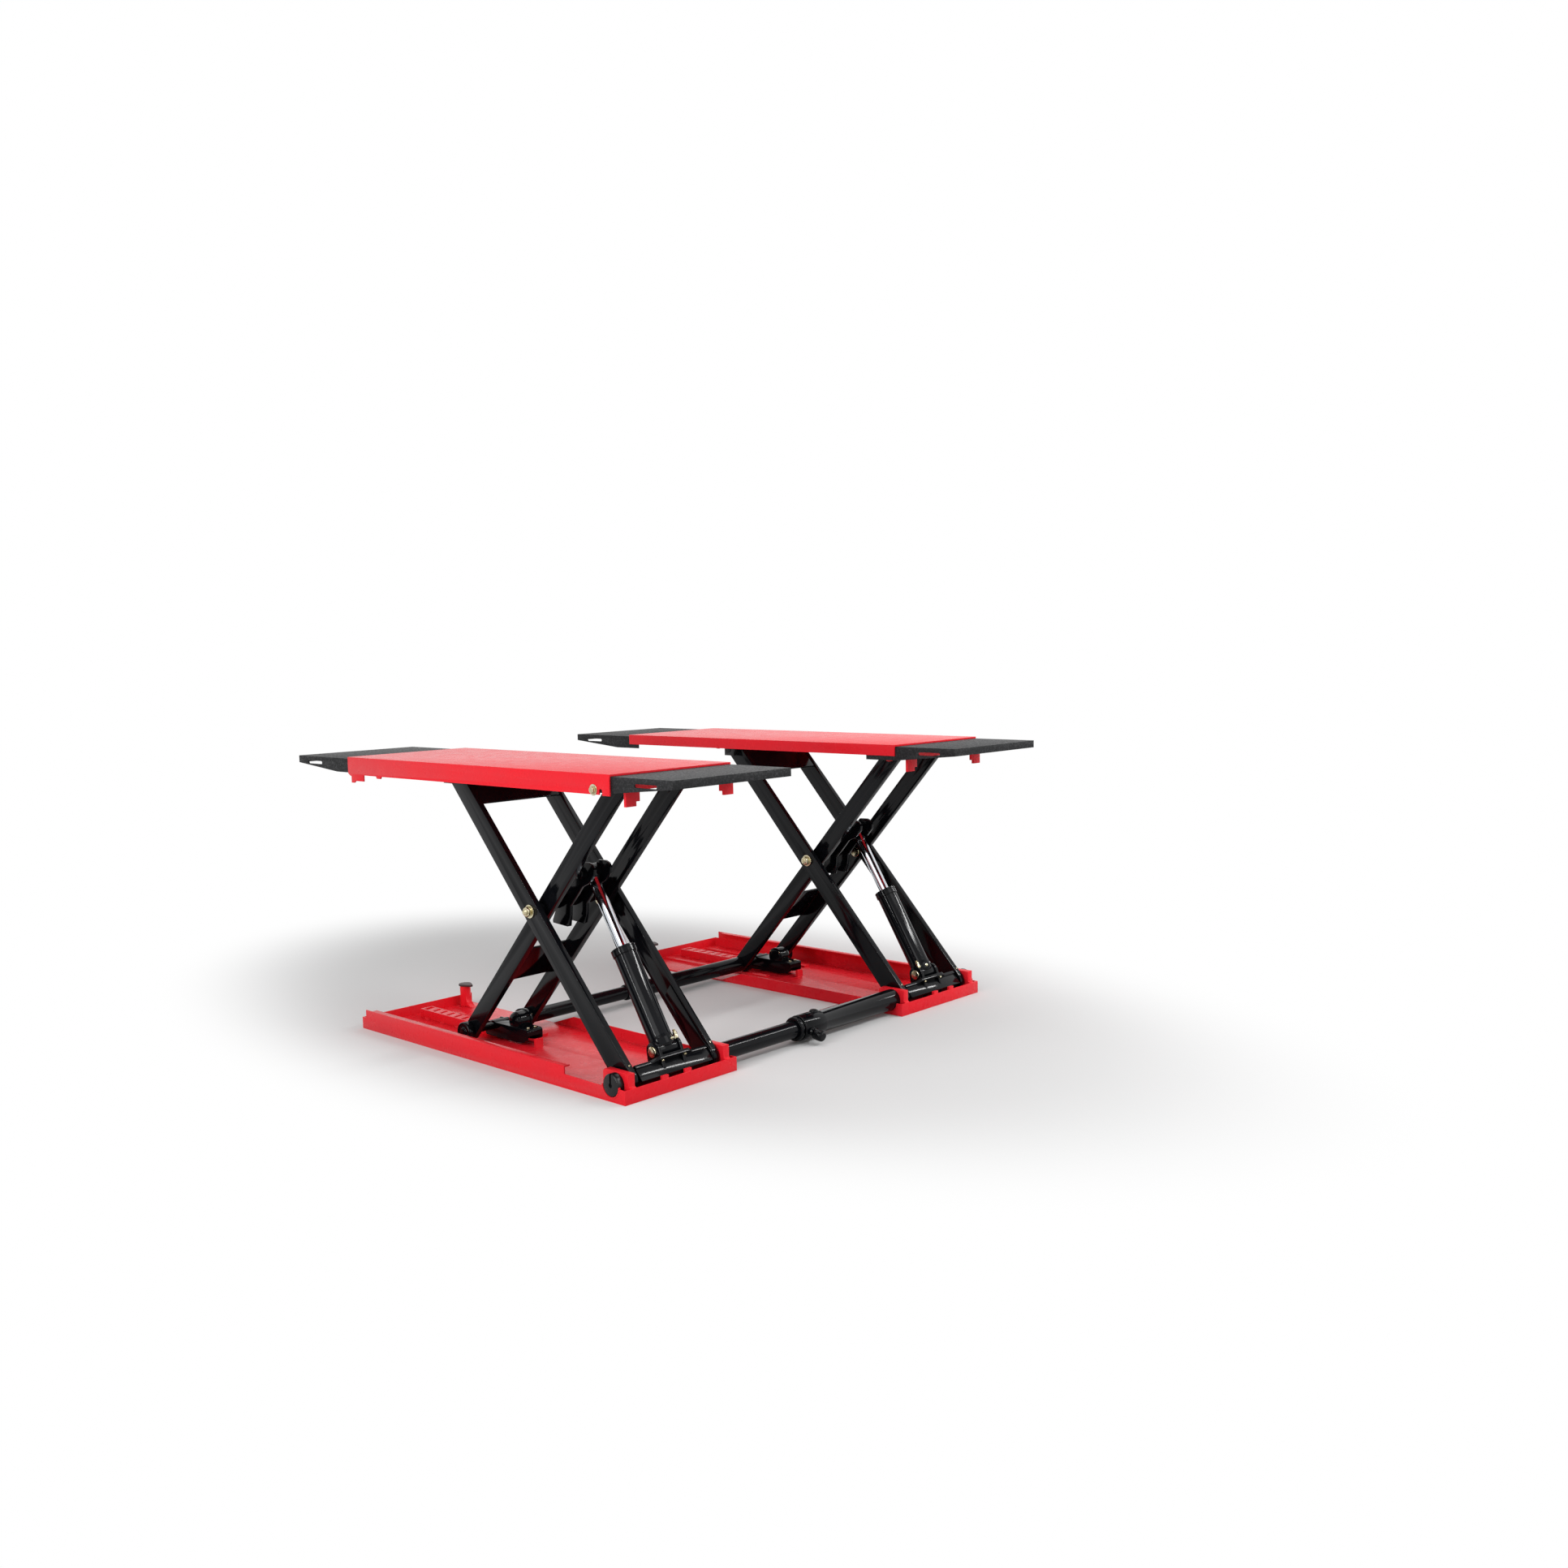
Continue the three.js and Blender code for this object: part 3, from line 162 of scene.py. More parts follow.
def new_material(name: str) -> tuple[Material, Tree, Socket]:
    """Makes an empty node material.

    Args:
        name: The finish's name.

    Returns:
        The material, its tree and the Object coordinate socket.
    """
    material = bpy.data.materials.new(name)
    material.use_nodes = True
    material.node_tree.nodes.clear()
    place = add_node(material.node_tree, "ShaderNodeTexCoord")
    return material, material.node_tree, place.outputs["Object"]


@dataclass(frozen=True)
class Pattern:
    """Noise with grains of a size, and the part of it over which one look turns into another."""

    grain_mm: float
    detail: float
    start: float
    end: float

    def blend(self, tree: Tree, place: Socket, first: Colour, last: Colour) -> Node:
        """Blends two colours, or two greys for roughness.

        Args:
            tree: The material's tree.
            place: Object coordinates.
            first: The look up to the start.
            last: The look from the end on.

        Returns:
            The ramp.
        """
        grains = add_node(tree, "ShaderNodeTexNoise",
                          {"Vector": place, "Scale": pitch(self.grain_mm), "Detail": self.detail})
        return add_node(tree, "ShaderNodeValToRGB", {"Fac": grains},
                        [(self.start, first), (self.end, last)])


class Grain(Enum):
    """What a relief is made of: soft swellings or separate crystals."""

    SOFT = "ShaderNodeTexNoise"
    CRYSTAL = "ShaderNodeTexVoronoi"


@dataclass(frozen=True)
class Relief:
    """Fine bumps of a surface: their width, strength and depth, and how far they are drawn out."""

    grain_mm: float
    strength: float
    depth_mm: float
    detail: float = 1.0
    grain: Grain = Grain.SOFT
    stretch: Point = (1, 1, 1)

    def bump(self, tree: Tree, place: Socket) -> Node:
        """Builds the bumps.

        Args:
            tree: The material's tree.
            place: Object coordinates.

        Returns:
            The bump node.
        """
        drawn = add_node(tree, "ShaderNodeMapping", {"Vector": place, "Scale": self.stretch})
        grains = add_node(tree, self.grain.value,
                          {"Vector": drawn, "Scale": pitch(self.grain_mm), "Detail": self.detail})
        return add_node(tree, "ShaderNodeBump", {"Height": grains, "Strength": self.strength,
                                                 "Distance": self.depth_mm * MM})


@dataclass(frozen=True)
class Finish:
    """A surface whose colour and roughness each turn into another in patches, with a relief."""

    name: str
    colour: str
    shade: str
    rough: Pair
    patches: Pattern
    sheen: Pattern
    relief: Relief
    specular: float = 0.5
    metallic: float = 0.0

    def material(self) -> Material:
        """Builds the finish; a roughness that is the same all over stays on the shader's own socket.

        Returns:
            Its material.
        """
        made, tree, place = new_material(self.name)
        low, high = self.rough
        surface = add_node(tree, "ShaderNodeBsdfPrincipled", {
            "Base Color": self.patches.blend(tree, place, linear(self.colour), linear(self.shade)),
            "Metallic": self.metallic,
            "Roughness": low if low == high else self.sheen.blend(tree, place, grey(low), grey(high)),
            "Normal": self.relief.bump(tree, place),
            "Specular IOR Level": self.specular,
        })
        add_node(tree, "ShaderNodeOutputMaterial", {"Surface": surface})
        return made


@dataclass(frozen=True)
class PowderCoat(Finish):
    """Thermoset polyester powder coat on steel: glossy, with a slight orange peel that breaks up
    long reflections, a little dust on it and a duller film where it is handled. The peel is 3 mm
    across on real paint and drawn coarser, so that it shows."""

    patches: Pattern = Pattern(160.0, 5.0, 0.35, 0.8)
    sheen: Pattern = Pattern(40.0, 6.0, 0.3, 0.75)
    relief: Relief = Relief(8.0, 0.004, 0.5)
    specular: float = 0.15


@dataclass(frozen=True)
class BlackOxide(PowderCoat):
    """Black oxide on machined steel, oiled: nearly as dark as the paint, but duller, so that
    moving parts stand apart from the painted ones."""

    specular: float = 0.3


@dataclass(frozen=True)
class GritCoat(Finish):
    """Black epoxy with blown-in quartz grit: matt between the grains, with small bright tips
    where tyres and shoes have polished them. Real grit is under 1 mm and drawn coarser, so that
    it shows."""

    patches: Pattern = Pattern(6.0, 3.0, 0.5, 0.72)
    sheen: Pattern = Pattern(6.0, 3.0, 0.4, 0.75)
    relief: Relief = Relief(3.0, 0.6, 1.2, 0.0, Grain.CRYSTAL)
    specular: float = 0.25


@dataclass(frozen=True)
class ZincPlate(Finish):
    """Yellow-passivated zinc on machined steel: a warm sheen, with soft patches where the plating
    is thicker and fine lines of machining along one axis, drawn coarser than they are."""

    patches: Pattern = Pattern(14.0, 4.0, 0.4, 0.7)
    sheen: Pattern = Pattern(14.0, 4.0, 0.35, 0.7)
    relief: Relief = Relief(1.2, 0.08, 0.3, 2.0, stretch=(1, 0.04, 1))
    metallic: float = 1.0


@dataclass(frozen=True)
class HardChrome(ZincPlate):
    """Hard chrome, ground and polished: nearly a mirror, with hardly a line left in it."""

    relief: Relief = Relief(1.2, 0.01, 0.3, 2.0, stretch=(1, 0.04, 1))


@dataclass(frozen=True)
class MouldedPlastic(Finish):
    """Injection-moulded polyamide: an even, dull sheen, with a fine spark-eroded texture that is
    drawn coarser than it is."""

    patches: Pattern = Pattern(20.0, 4.0, 0.4, 0.8)
    sheen: Pattern = Pattern(20.0, 4.0, 0.4, 0.8)
    relief: Relief = Relief(0.8, 0.2, 0.2)


class Slot(Enum):
    """Material slots of the record."""

    RED = "red_paint"
    BLACK = "black_paint"
    GRIT = "grit_black"
    ZINC = "zinc_steel"
    CHROME = "chrome"
    STEEL = "dark_steel"
    CAP = "dark_cap"


FINISHES = {
    Slot.RED: PowderCoat("red_powder_coat", "#E41C29", "#DA2430", (0.24, 0.34)),
    Slot.BLACK: PowderCoat("black_powder_coat", "#07080B", "#0F1014", (0.08, 0.13)),
    Slot.GRIT: GritCoat("grit_coat", "#0D0E10", "#2C2C2F", (0.62, 0.34)),
    Slot.ZINC: ZincPlate("zinc_plate", "#D2CBB0", "#A69A72", (0.16, 0.34)),
    Slot.CHROME: HardChrome("hard_chrome", "#D6DAE0", "#C9CED6", (0.05, 0.1)),
    Slot.STEEL: BlackOxide("black_oxide_steel", "#0C0C0E", "#1C1B1D", (0.22, 0.36)),
    Slot.CAP: MouldedPlastic("cap_plastic", "#2A1718", "#45292A", (0.5, 0.5)),
}
MATERIALS: dict[Slot, Material] = {}

# A node to round: its name, its finish, the width of the rounding in millimetres and its steps
Edge = tuple[str, Slot, float, int]


# Modelling helpers

def deselect() -> None:
    """Leaves object mode with nothing selected."""
    if bpy.context.mode != "OBJECT":
        bpy.ops.object.mode_set(mode="OBJECT")
    bpy.ops.object.select_all(action="DESELECT")


def activate(piece: Piece) -> None:
    """Makes a piece the only selected and active one.

    Args:
        piece: The piece.
    """
    deselect()
    piece.select_set(True)
    bpy.context.view_layer.objects.active = piece


def select_mesh() -> None:
    """Selects all of the mesh in edit mode."""
    bpy.ops.mesh.select_all(action="SELECT")


def face_outward() -> None:
    """Turns the selected faces outward in edit mode."""
    bpy.ops.mesh.normals_make_consistent(inside=False)


def edit(piece: Piece, *steps: Callable[[], object]) -> None:
    """Runs operators on a piece in edit mode, with all of it selected at the start.

    Args:
        piece: The piece.
        steps: Calls of operators, in order.
    """
    activate(piece)
    bpy.ops.object.mode_set(mode="EDIT")
    select_mesh()
    for step in steps:
        step()
    bpy.ops.object.mode_set(mode="OBJECT")


def smooth(piece: Piece, degrees: float) -> Piece:
    """Smooths the faces that meet at less than a number of degrees.

    Args:
        piece: The piece.
        degrees: Edges sharper than this stay sharp.

    Returns:
        The piece.
    """
    activate(piece)
    bpy.ops.object.shade_smooth_by_angle(angle=math.radians(degrees))
    return piece


def soften(piece: Piece, width_mm: float, segments: int = 2, angle: float = 35.0) -> Piece:
    """Rounds a piece's sharp edges and smooths its turned faces.

    Args:
        piece: The piece.
        width_mm: Width of the rounding.
        segments: Steps across the rounding.
        angle: Edges sharper than this many degrees are rounded.

    Returns:
        The piece.
    """
    activate(piece)
    bevel = piece.modifiers.new("edges", "BEVEL")
    bevel.width = width_mm * MM
    bevel.segments = segments
    bevel.limit_method = "ANGLE"
    bevel.angle_limit = math.radians(angle)
    bpy.ops.object.modifier_apply(modifier=bevel.name)
    return smooth(piece, 40)


def joined(*pieces: Piece) -> Piece:
    """Joins pieces.

    Args:
        pieces: The pieces.

    Returns:
        The first of them, with all the others in it.
    """
    activate(pieces[0])
    for piece in pieces[1:]:
        piece.select_set(True)
    bpy.ops.object.join()
    return pieces[0]


def combined(piece: Piece, tool: Piece, operation: str = "DIFFERENCE") -> Piece:
    """Cuts a piece with a tool, or fuses or crosses the two, and removes the tool.

    Args:
        piece: The piece that is kept.
        tool: A closed shape.
        operation: DIFFERENCE, UNION or INTERSECT.

    Returns:
        The piece.
    """
    activate(piece)
    cut = piece.modifiers.new("cut", "BOOLEAN")
    cut.operation = operation
    cut.object = tool
    cut.solver = "EXACT"
    bpy.ops.object.modifier_apply(modifier=cut.name)
    bpy.data.objects.remove(tool)
    return piece


def bar(start: Vector, end: Vector, radius_mm: float, sides: int = 48) -> Piece:
    """Adds a closed bar between two points, with its place in its mesh.

    Args:
        start: Centre of one end.
        end: Centre of the other end.
        radius_mm: Its radius.
        sides: Sides of the round.

    Returns:
        The bar.
    """
    deselect()
    way = end - start
    bpy.ops.mesh.primitive_cylinder_add(vertices=sides, radius=radius_mm * MM, depth=way.length,
                                        location=(start + end) / 2,
                                        rotation=way.to_track_quat("Z", "Y").to_euler())
    piece = bpy.context.active_object
    activate(piece)
    bpy.ops.object.transform_apply(location=True, rotation=True, scale=True)
    return piece


def ring_of(places: Sequence[Vector]) -> Piece:
    """Adds a closed wire.

    Args:
        places: Its corners in order.

    Returns:
        The wire.
    """
    deselect()
    bpy.ops.mesh.primitive_circle_add(vertices=len(places), radius=1.0)
    piece = bpy.context.active_object
    for corner, place in zip(piece.data.vertices, places):
        corner.co = place
    return piece


def tube(inner: float, outer: float, start: float, end: float) -> Profile:
    """Profile of a plain tube, or of a disc where the inner radius is zero."""
    return [(inner, start), (outer, start), (outer, end), (inner, end)]


def turned(profile: Profile, foot: Vector, way: Vector, steps: int = 64) -> Piece:
    """Spins a closed outline round an axis, as on a lathe.

    Args:
        profile: Corners as radius and distance from the foot, in millimetres.
        foot: Point of the axis that distances are measured from.
        way: Direction of the axis.
        steps: Steps of the whole turn.

    Returns:
        The closed shape.
    """
    axis = way.normalized()
    side = axis.orthogonal().normalized()
    piece = ring_of([foot + side * (r * MM) + axis * (s * MM) for r, s in profile])
    edit(
        piece,
        lambda: bpy.ops.mesh.spin(steps=steps, angle=2 * math.pi, center=foot, axis=axis),
        select_mesh,
        lambda: bpy.ops.mesh.remove_doubles(threshold=MERGE),
        lambda: bpy.ops.mesh.dissolve_degenerate(threshold=MERGE),
        select_mesh,
        lambda: bpy.ops.mesh.delete_loose(use_faces=False),
        select_mesh,
        face_outward,
    )
    return piece


def plate(outline: Sequence[Vector], thickness: Vector) -> Piece:
    """Fills a closed outline and extrudes it to a plate.

    Args:
        outline: Corners in order round one face.
        thickness: Way and distance from that face to the other.

    Returns:
        The closed plate.
    """
    piece = ring_of(outline)
    edit(
        piece,
        lambda: bpy.ops.mesh.edge_face_add(),
        lambda: bpy.ops.mesh.extrude_region_move(TRANSFORM_OT_translate={"value": thickness}),
        select_mesh,
        face_outward,
    )
    return piece


def link_outline(start: Vector, start_mm: float, end: Vector, end_mm: float) -> list[Vector]:
    """Outline in the side view of a link with round ends.

    Args:
        start: Centre of one round end.
        start_mm: Its radius.
        end: Centre of the other.
        end_mm: Its radius.

    Returns:
        Its corners in order.
    """
    steps = 20
    heading = math.atan2(end.z - start.z, end.x - start.x)
    spread = math.acos((start_mm - end_mm) * MM / math.hypot(end.x - start.x, end.z - start.z))
    corners = []
    for centre, radius, first, turn in ((start, start_mm, heading + spread, 2 * (math.pi - spread)),
                                        (end, end_mm, heading - spread, 2 * spread)):
        corners += [centre + Vector((math.cos(a), 0, math.sin(a))) * (radius * MM)
                    for a in (first + turn * i / steps for i in range(steps + 1))]
    return corners


def leaning(degrees: float) -> Vector:
    """The way that leans forward from upright by an angle."""
    return Vector((math.sin(math.radians(degrees)), 0, math.cos(math.radians(degrees))))


def raised(way: Vector) -> Vector:
    """The direction square to a leg that points up in the side view."""
    normal = Vector((way.z, 0.0, -way.x))
    return normal if normal.z > 0 else -normal


def offset(origin: Vector, way: Vector, along_mm: float, up_mm: float) -> Vector:
    """The point so far along a leg from a pin, and so far square to it towards its top."""
    return origin + way * (along_mm * MM) + raised(way) * (up_mm * MM)


def weld(start: Vector, end: Vector, size_mm: float = 3.0, ripple_mm: float = 2.6) -> Piece:
    """Adds a weld bead between two points: a thin bar whose radius swells with each ripple of
    the welding arc, half of it sunk in the steel.

    Args:
        start: One end.
        end: The other end.
        size_mm: Radius of the bead.
        ripple_mm: Length of one ripple.

    Returns:
        The bead.
    """
    length = (end - start).length / MM
    count = max(4, int(length / ripple_mm))
    body = [(size_mm * (0.86 if i % 2 else 1.0), length * (i + 0.5) / count) for i in range(count)]
    return smooth(turned([(0, 0), *body, (0, length)], start, end - start, 8), 180)


def hexagon_head(centre: Vector, way: Vector, across_mm: float, height_mm: float) -> Piece:
    """Adds a bolt head or nut: a hexagon whose corners are chamfered by a turned cone.

    Args:
        centre: Middle of the face that bears on the washer.
        way: Direction in which it stands out.
        across_mm: Width across the corners.
        height_mm: Its height.

    Returns:
        The head.
    """
    axis = way.normalized()
    half = across_mm / 2
    head = bar(centre, centre + axis * (height_mm * MM), half, 6)
    cone = turned([(0, -0.1), (half * 1.02, -0.1), (half * 1.02, height_mm * 0.8),
                   (half * 0.84, height_mm), (0, height_mm)], centre, axis, 36)
    return soften(combined(head, cone, "INTERSECT"), 0.35, 1, 30)


def thread(foot: Vector, way: Vector, radius_mm: float, length_mm: float,
           pitch_mm: float = 2.0) -> Piece:
    """Adds a threaded end: grooves at the pitch and a chamfered tip.

    Args:
        foot: Where it starts.
        way: Its direction.
        radius_mm: Its outer radius.
        length_mm: Its length.
        pitch_mm: Distance between grooves.

    Returns:
        The threaded end.
    """
    count = max(2, int(length_mm / pitch_mm))
    ridges = [(radius_mm * (0.88 if i % 2 else 1.0), pitch_mm * (i + 0.5) / 2)
              for i in range(2 * count - 1)]
    return turned([(0, 0), *ridges, (radius_mm * 0.75, length_mm), (0, length_mm)], foot, way, 32)


def dress(piece: Piece, name: str, body: str, slot: Slot, *nodes: str) -> None:
    """Names a finished piece, gives it its finish and lets it ride.

    Args:
        piece: The finished piece, with its place in its mesh.
        name: The piece's name.
        body: The body that it rides on.
        slot: The record's slot that it is finished from.
        nodes: Nodes of the frame that it stands for.
    """
    piece.name = piece.data.name = name
    piece.data.materials.clear()
    piece.data.materials.append(MATERIALS[slot])
    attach(piece, body)
    if nodes:
        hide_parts(*nodes)
    log.info("%s rides on %s", name, body)


def stand_in(piece: Piece, node: str, slot: Slot) -> None:
    """Dresses a piece that takes the place of a node and rides on the node's body."""
    dress(piece, f"{node}_fine", frame["nodes"][node]["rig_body"], slot, node)


@dataclass(frozen=True)
class Unit:
    """One scissor unit: its side, its pins and the ways its pieces point."""

    side: Side

    def name(self, piece: str) -> str:
        """Full name of one of this unit's nodes, bodies or pieces."""
        return f"{self.side.tag}_{piece}"

    def pin(self, joint: str) -> Vector:
        """Place of one of the unit's hinges, on its middle plane."""
        return Vector(JOINTS[self.name(joint)]["pos_m"])

    def across(self, y_mm: float) -> float:
        """The frame's y at a distance from the unit's outer side."""
        return self.side.value * ((y_mm - MIDDLE) * MM - MID_Y)

    def at(self, x_mm: float, y_mm: float, z_mm: float) -> Vector:
        """A place measured from the tray's rear end, its outer side and the ground."""
        return Vector((REAR_X + x_mm * MM, self.across(y_mm), z_mm * MM))

    def beside(self, point: Vector, y_mm: float) -> Vector:
        """The point in the side view, moved to a distance from the unit's outer side."""
        return Vector((point.x, self.across(y_mm), point.z))

    def inward(self) -> Vector:
        """Way from the outer side to the inner side."""
        return Vector((0.0, float(self.side.value), 0.0))

    def outer_way(self) -> Vector:
        """Way up along the outer legs."""
        return (self.pin("block_outer_turn") - self.pin("lift")).normalized()

    def inner_way(self) -> Vector:
        """Way up along the inner legs."""
        return (self.pin("deck_level") - self.pin("carriage_level")).normalized()

    def ram_way(self) -> Vector:
        """Way from the ram's foot to its head."""
        return Vector(JOINTS[self.name("ram_stroke")]["axis"])

    def band(self, flip: bool, *y_mm: float) -> list[float]:
        """Distances from the outer side, rising, and mirrored to the unit's inner half if asked."""
        return sorted(TRAY_WIDTH - y if flip else y for y in y_mm)

    def shaft(self, point: Vector, y0_mm: float, y1_mm: float, radius_mm: float,
              sides: int = 48) -> Piece:
        """Adds a closed bar across the unit between two distances from its outer side."""
        return bar(self.beside(point, y0_mm), self.beside(point, y1_mm), radius_mm, sides)

    def bored(self, piece: Piece, centre: Vector, y0_mm: float, y1_mm: float,
              radius_mm: float) -> Piece:
        """Cuts a round hole across a piece that lies between two distances from the outer side."""
        return combined(piece, self.shaft(centre, y0_mm - CLEAR_MM, y1_mm + CLEAR_MM, radius_mm))

    def side_plate(self, outline: Sequence[Vector], y0_mm: float, y1_mm: float) -> Piece:
        """Stands a plate of a side view's outline between two distances from the outer side."""
        return plate([self.beside(p, y0_mm) for p in outline], self.inward() * ((y1_mm - y0_mm) * MM))

    def ring(self, point: Vector, profile: Profile, steps: int = 64) -> Piece:
        """Turns a profile of radius and distance from the outer side round an axis across the unit."""
        return turned(profile, self.beside(point, 0), self.inward(), steps)

    def dress(self, pieces: Sequence[Piece], name: str, body: str, slot: Slot) -> None:
        """Joins and dresses new pieces of this unit, with names that lack the unit's prefix."""
        dress(joined(*pieces), self.name(name), self.name(body), slot)

    def stand_in(self, pieces: Sequence[Piece], node: str, slot: Slot) -> None:
        """Joins pieces and lets them take the place of one of this unit's nodes."""
        stand_in(joined(*pieces), self.name(node), slot)

    def refine(self, *edges: Edge) -> None:
        """Replaces nodes of this unit by clean copies of them with rounded edges and a finish.

        Args:
            edges: For each, its name without the unit's prefix, its finish, the width of the
                rounding and the steps across it.
        """
        for name, slot, width_mm, segments in edges:
            node = self.name(name)
            copy = bpy.data.objects.new(node, frame["nodes"][node].data.copy())
            bpy.context.scene.collection.objects.link(copy)
            edit(
                copy,
                lambda: bpy.ops.mesh.remove_doubles(threshold=0.02 * MM),
                lambda: bpy.ops.mesh.dissolve_limited(angle_limit=math.radians(0.6)),
            )
            stand_in(soften(copy, width_mm, segments), node, slot)


# Sub-assemblies

@dataclass
class TraySet:
    """Tray, rack and corner post: bent and welded sheet steel, powder coated red."""

    unit: Unit
    edges: tuple[Edge, ...] = (
        ("tray", Slot.RED, 1.6, 2), ("lock_rack", Slot.RED, 1.2, 2),
        ("corner_post", Slot.RED, 1.0, 2), ("corner_post_cap", Slot.CAP, 1.6, 3))
    ear_x_mm: Pair = (1328.0, 1436.0)
    ear_faces_mm: Pair = (49.0, 426.0)
    floor_mm: float = 6.0
    tab_x_mm: float = 1444.0
    tab_z_mm: Pair = (10.0, 43.0)
    tab_faces_mm: tuple[float, ...] = (155.0, 181.0, 252.0, 278.0)
    stop_x_mm: Pair = (722.5, 735.5)
    stop_faces_mm: Pair = (222.5, 252.5)
    # For each seam, its distance from the outer side and its two ends along the tray
    seams_mm: tuple[tuple[float, float, float], ...] = (
        (106.8, 70.0, 620.0), (318.5, 70.0, 620.0), (212.3, 80.0, 430.0), (262.7, 80.0, 430.0))
    stitch_mm: float = 26.0
    stitch_pitch_mm: float = 96.0
    bead_mm: float = 2.6

    def build(self) -> None:
        """Dresses the tray's pieces."""
        self.unit.refine(*self.edges)
        at = self.unit.at
        beads = [weld(at(*start), at(*end), self.bead_mm)
                 for start, end in self.seams() + self.stitches()]
        self.unit.dress(beads, "tray_welds", "base", Slot.RED)

    def seams(self) -> list[Run]:
        """Runs of the beads along the feet of the ears, the stop tabs and the rack's stop.

        Returns:
            Their two ends.
        """
        (ear0, ear1), (stop0, stop1), (low, high) = self.ear_x_mm, self.stop_x_mm, self.tab_z_mm
        floor = self.floor_mm
        return ([((ear0, y, floor), (ear1, y, floor)) for y in self.ear_faces_mm]
                + [((self.tab_x_mm, y, low), (self.tab_x_mm, y, high)) for y in self.tab_faces_mm]
                + [((stop0, y, floor), (stop1, y, floor)) for y in self.stop_faces_mm])

    def stitches(self) -> list[Run]:
        """Runs of the short beads at an even pitch that hold the tracks and the rack to the floor.

        Returns:
            Their two ends.
        """
        runs = []
        for y, x0, x1 in self.seams_mm:
            for i in range(int((x1 - x0 - self.stitch_mm) / self.stitch_pitch_mm) + 1):
                x = x0 + i * self.stitch_pitch_mm
                runs.append(((x, y, self.floor_mm), (x + self.stitch_mm, y, self.floor_mm)))
        return runs


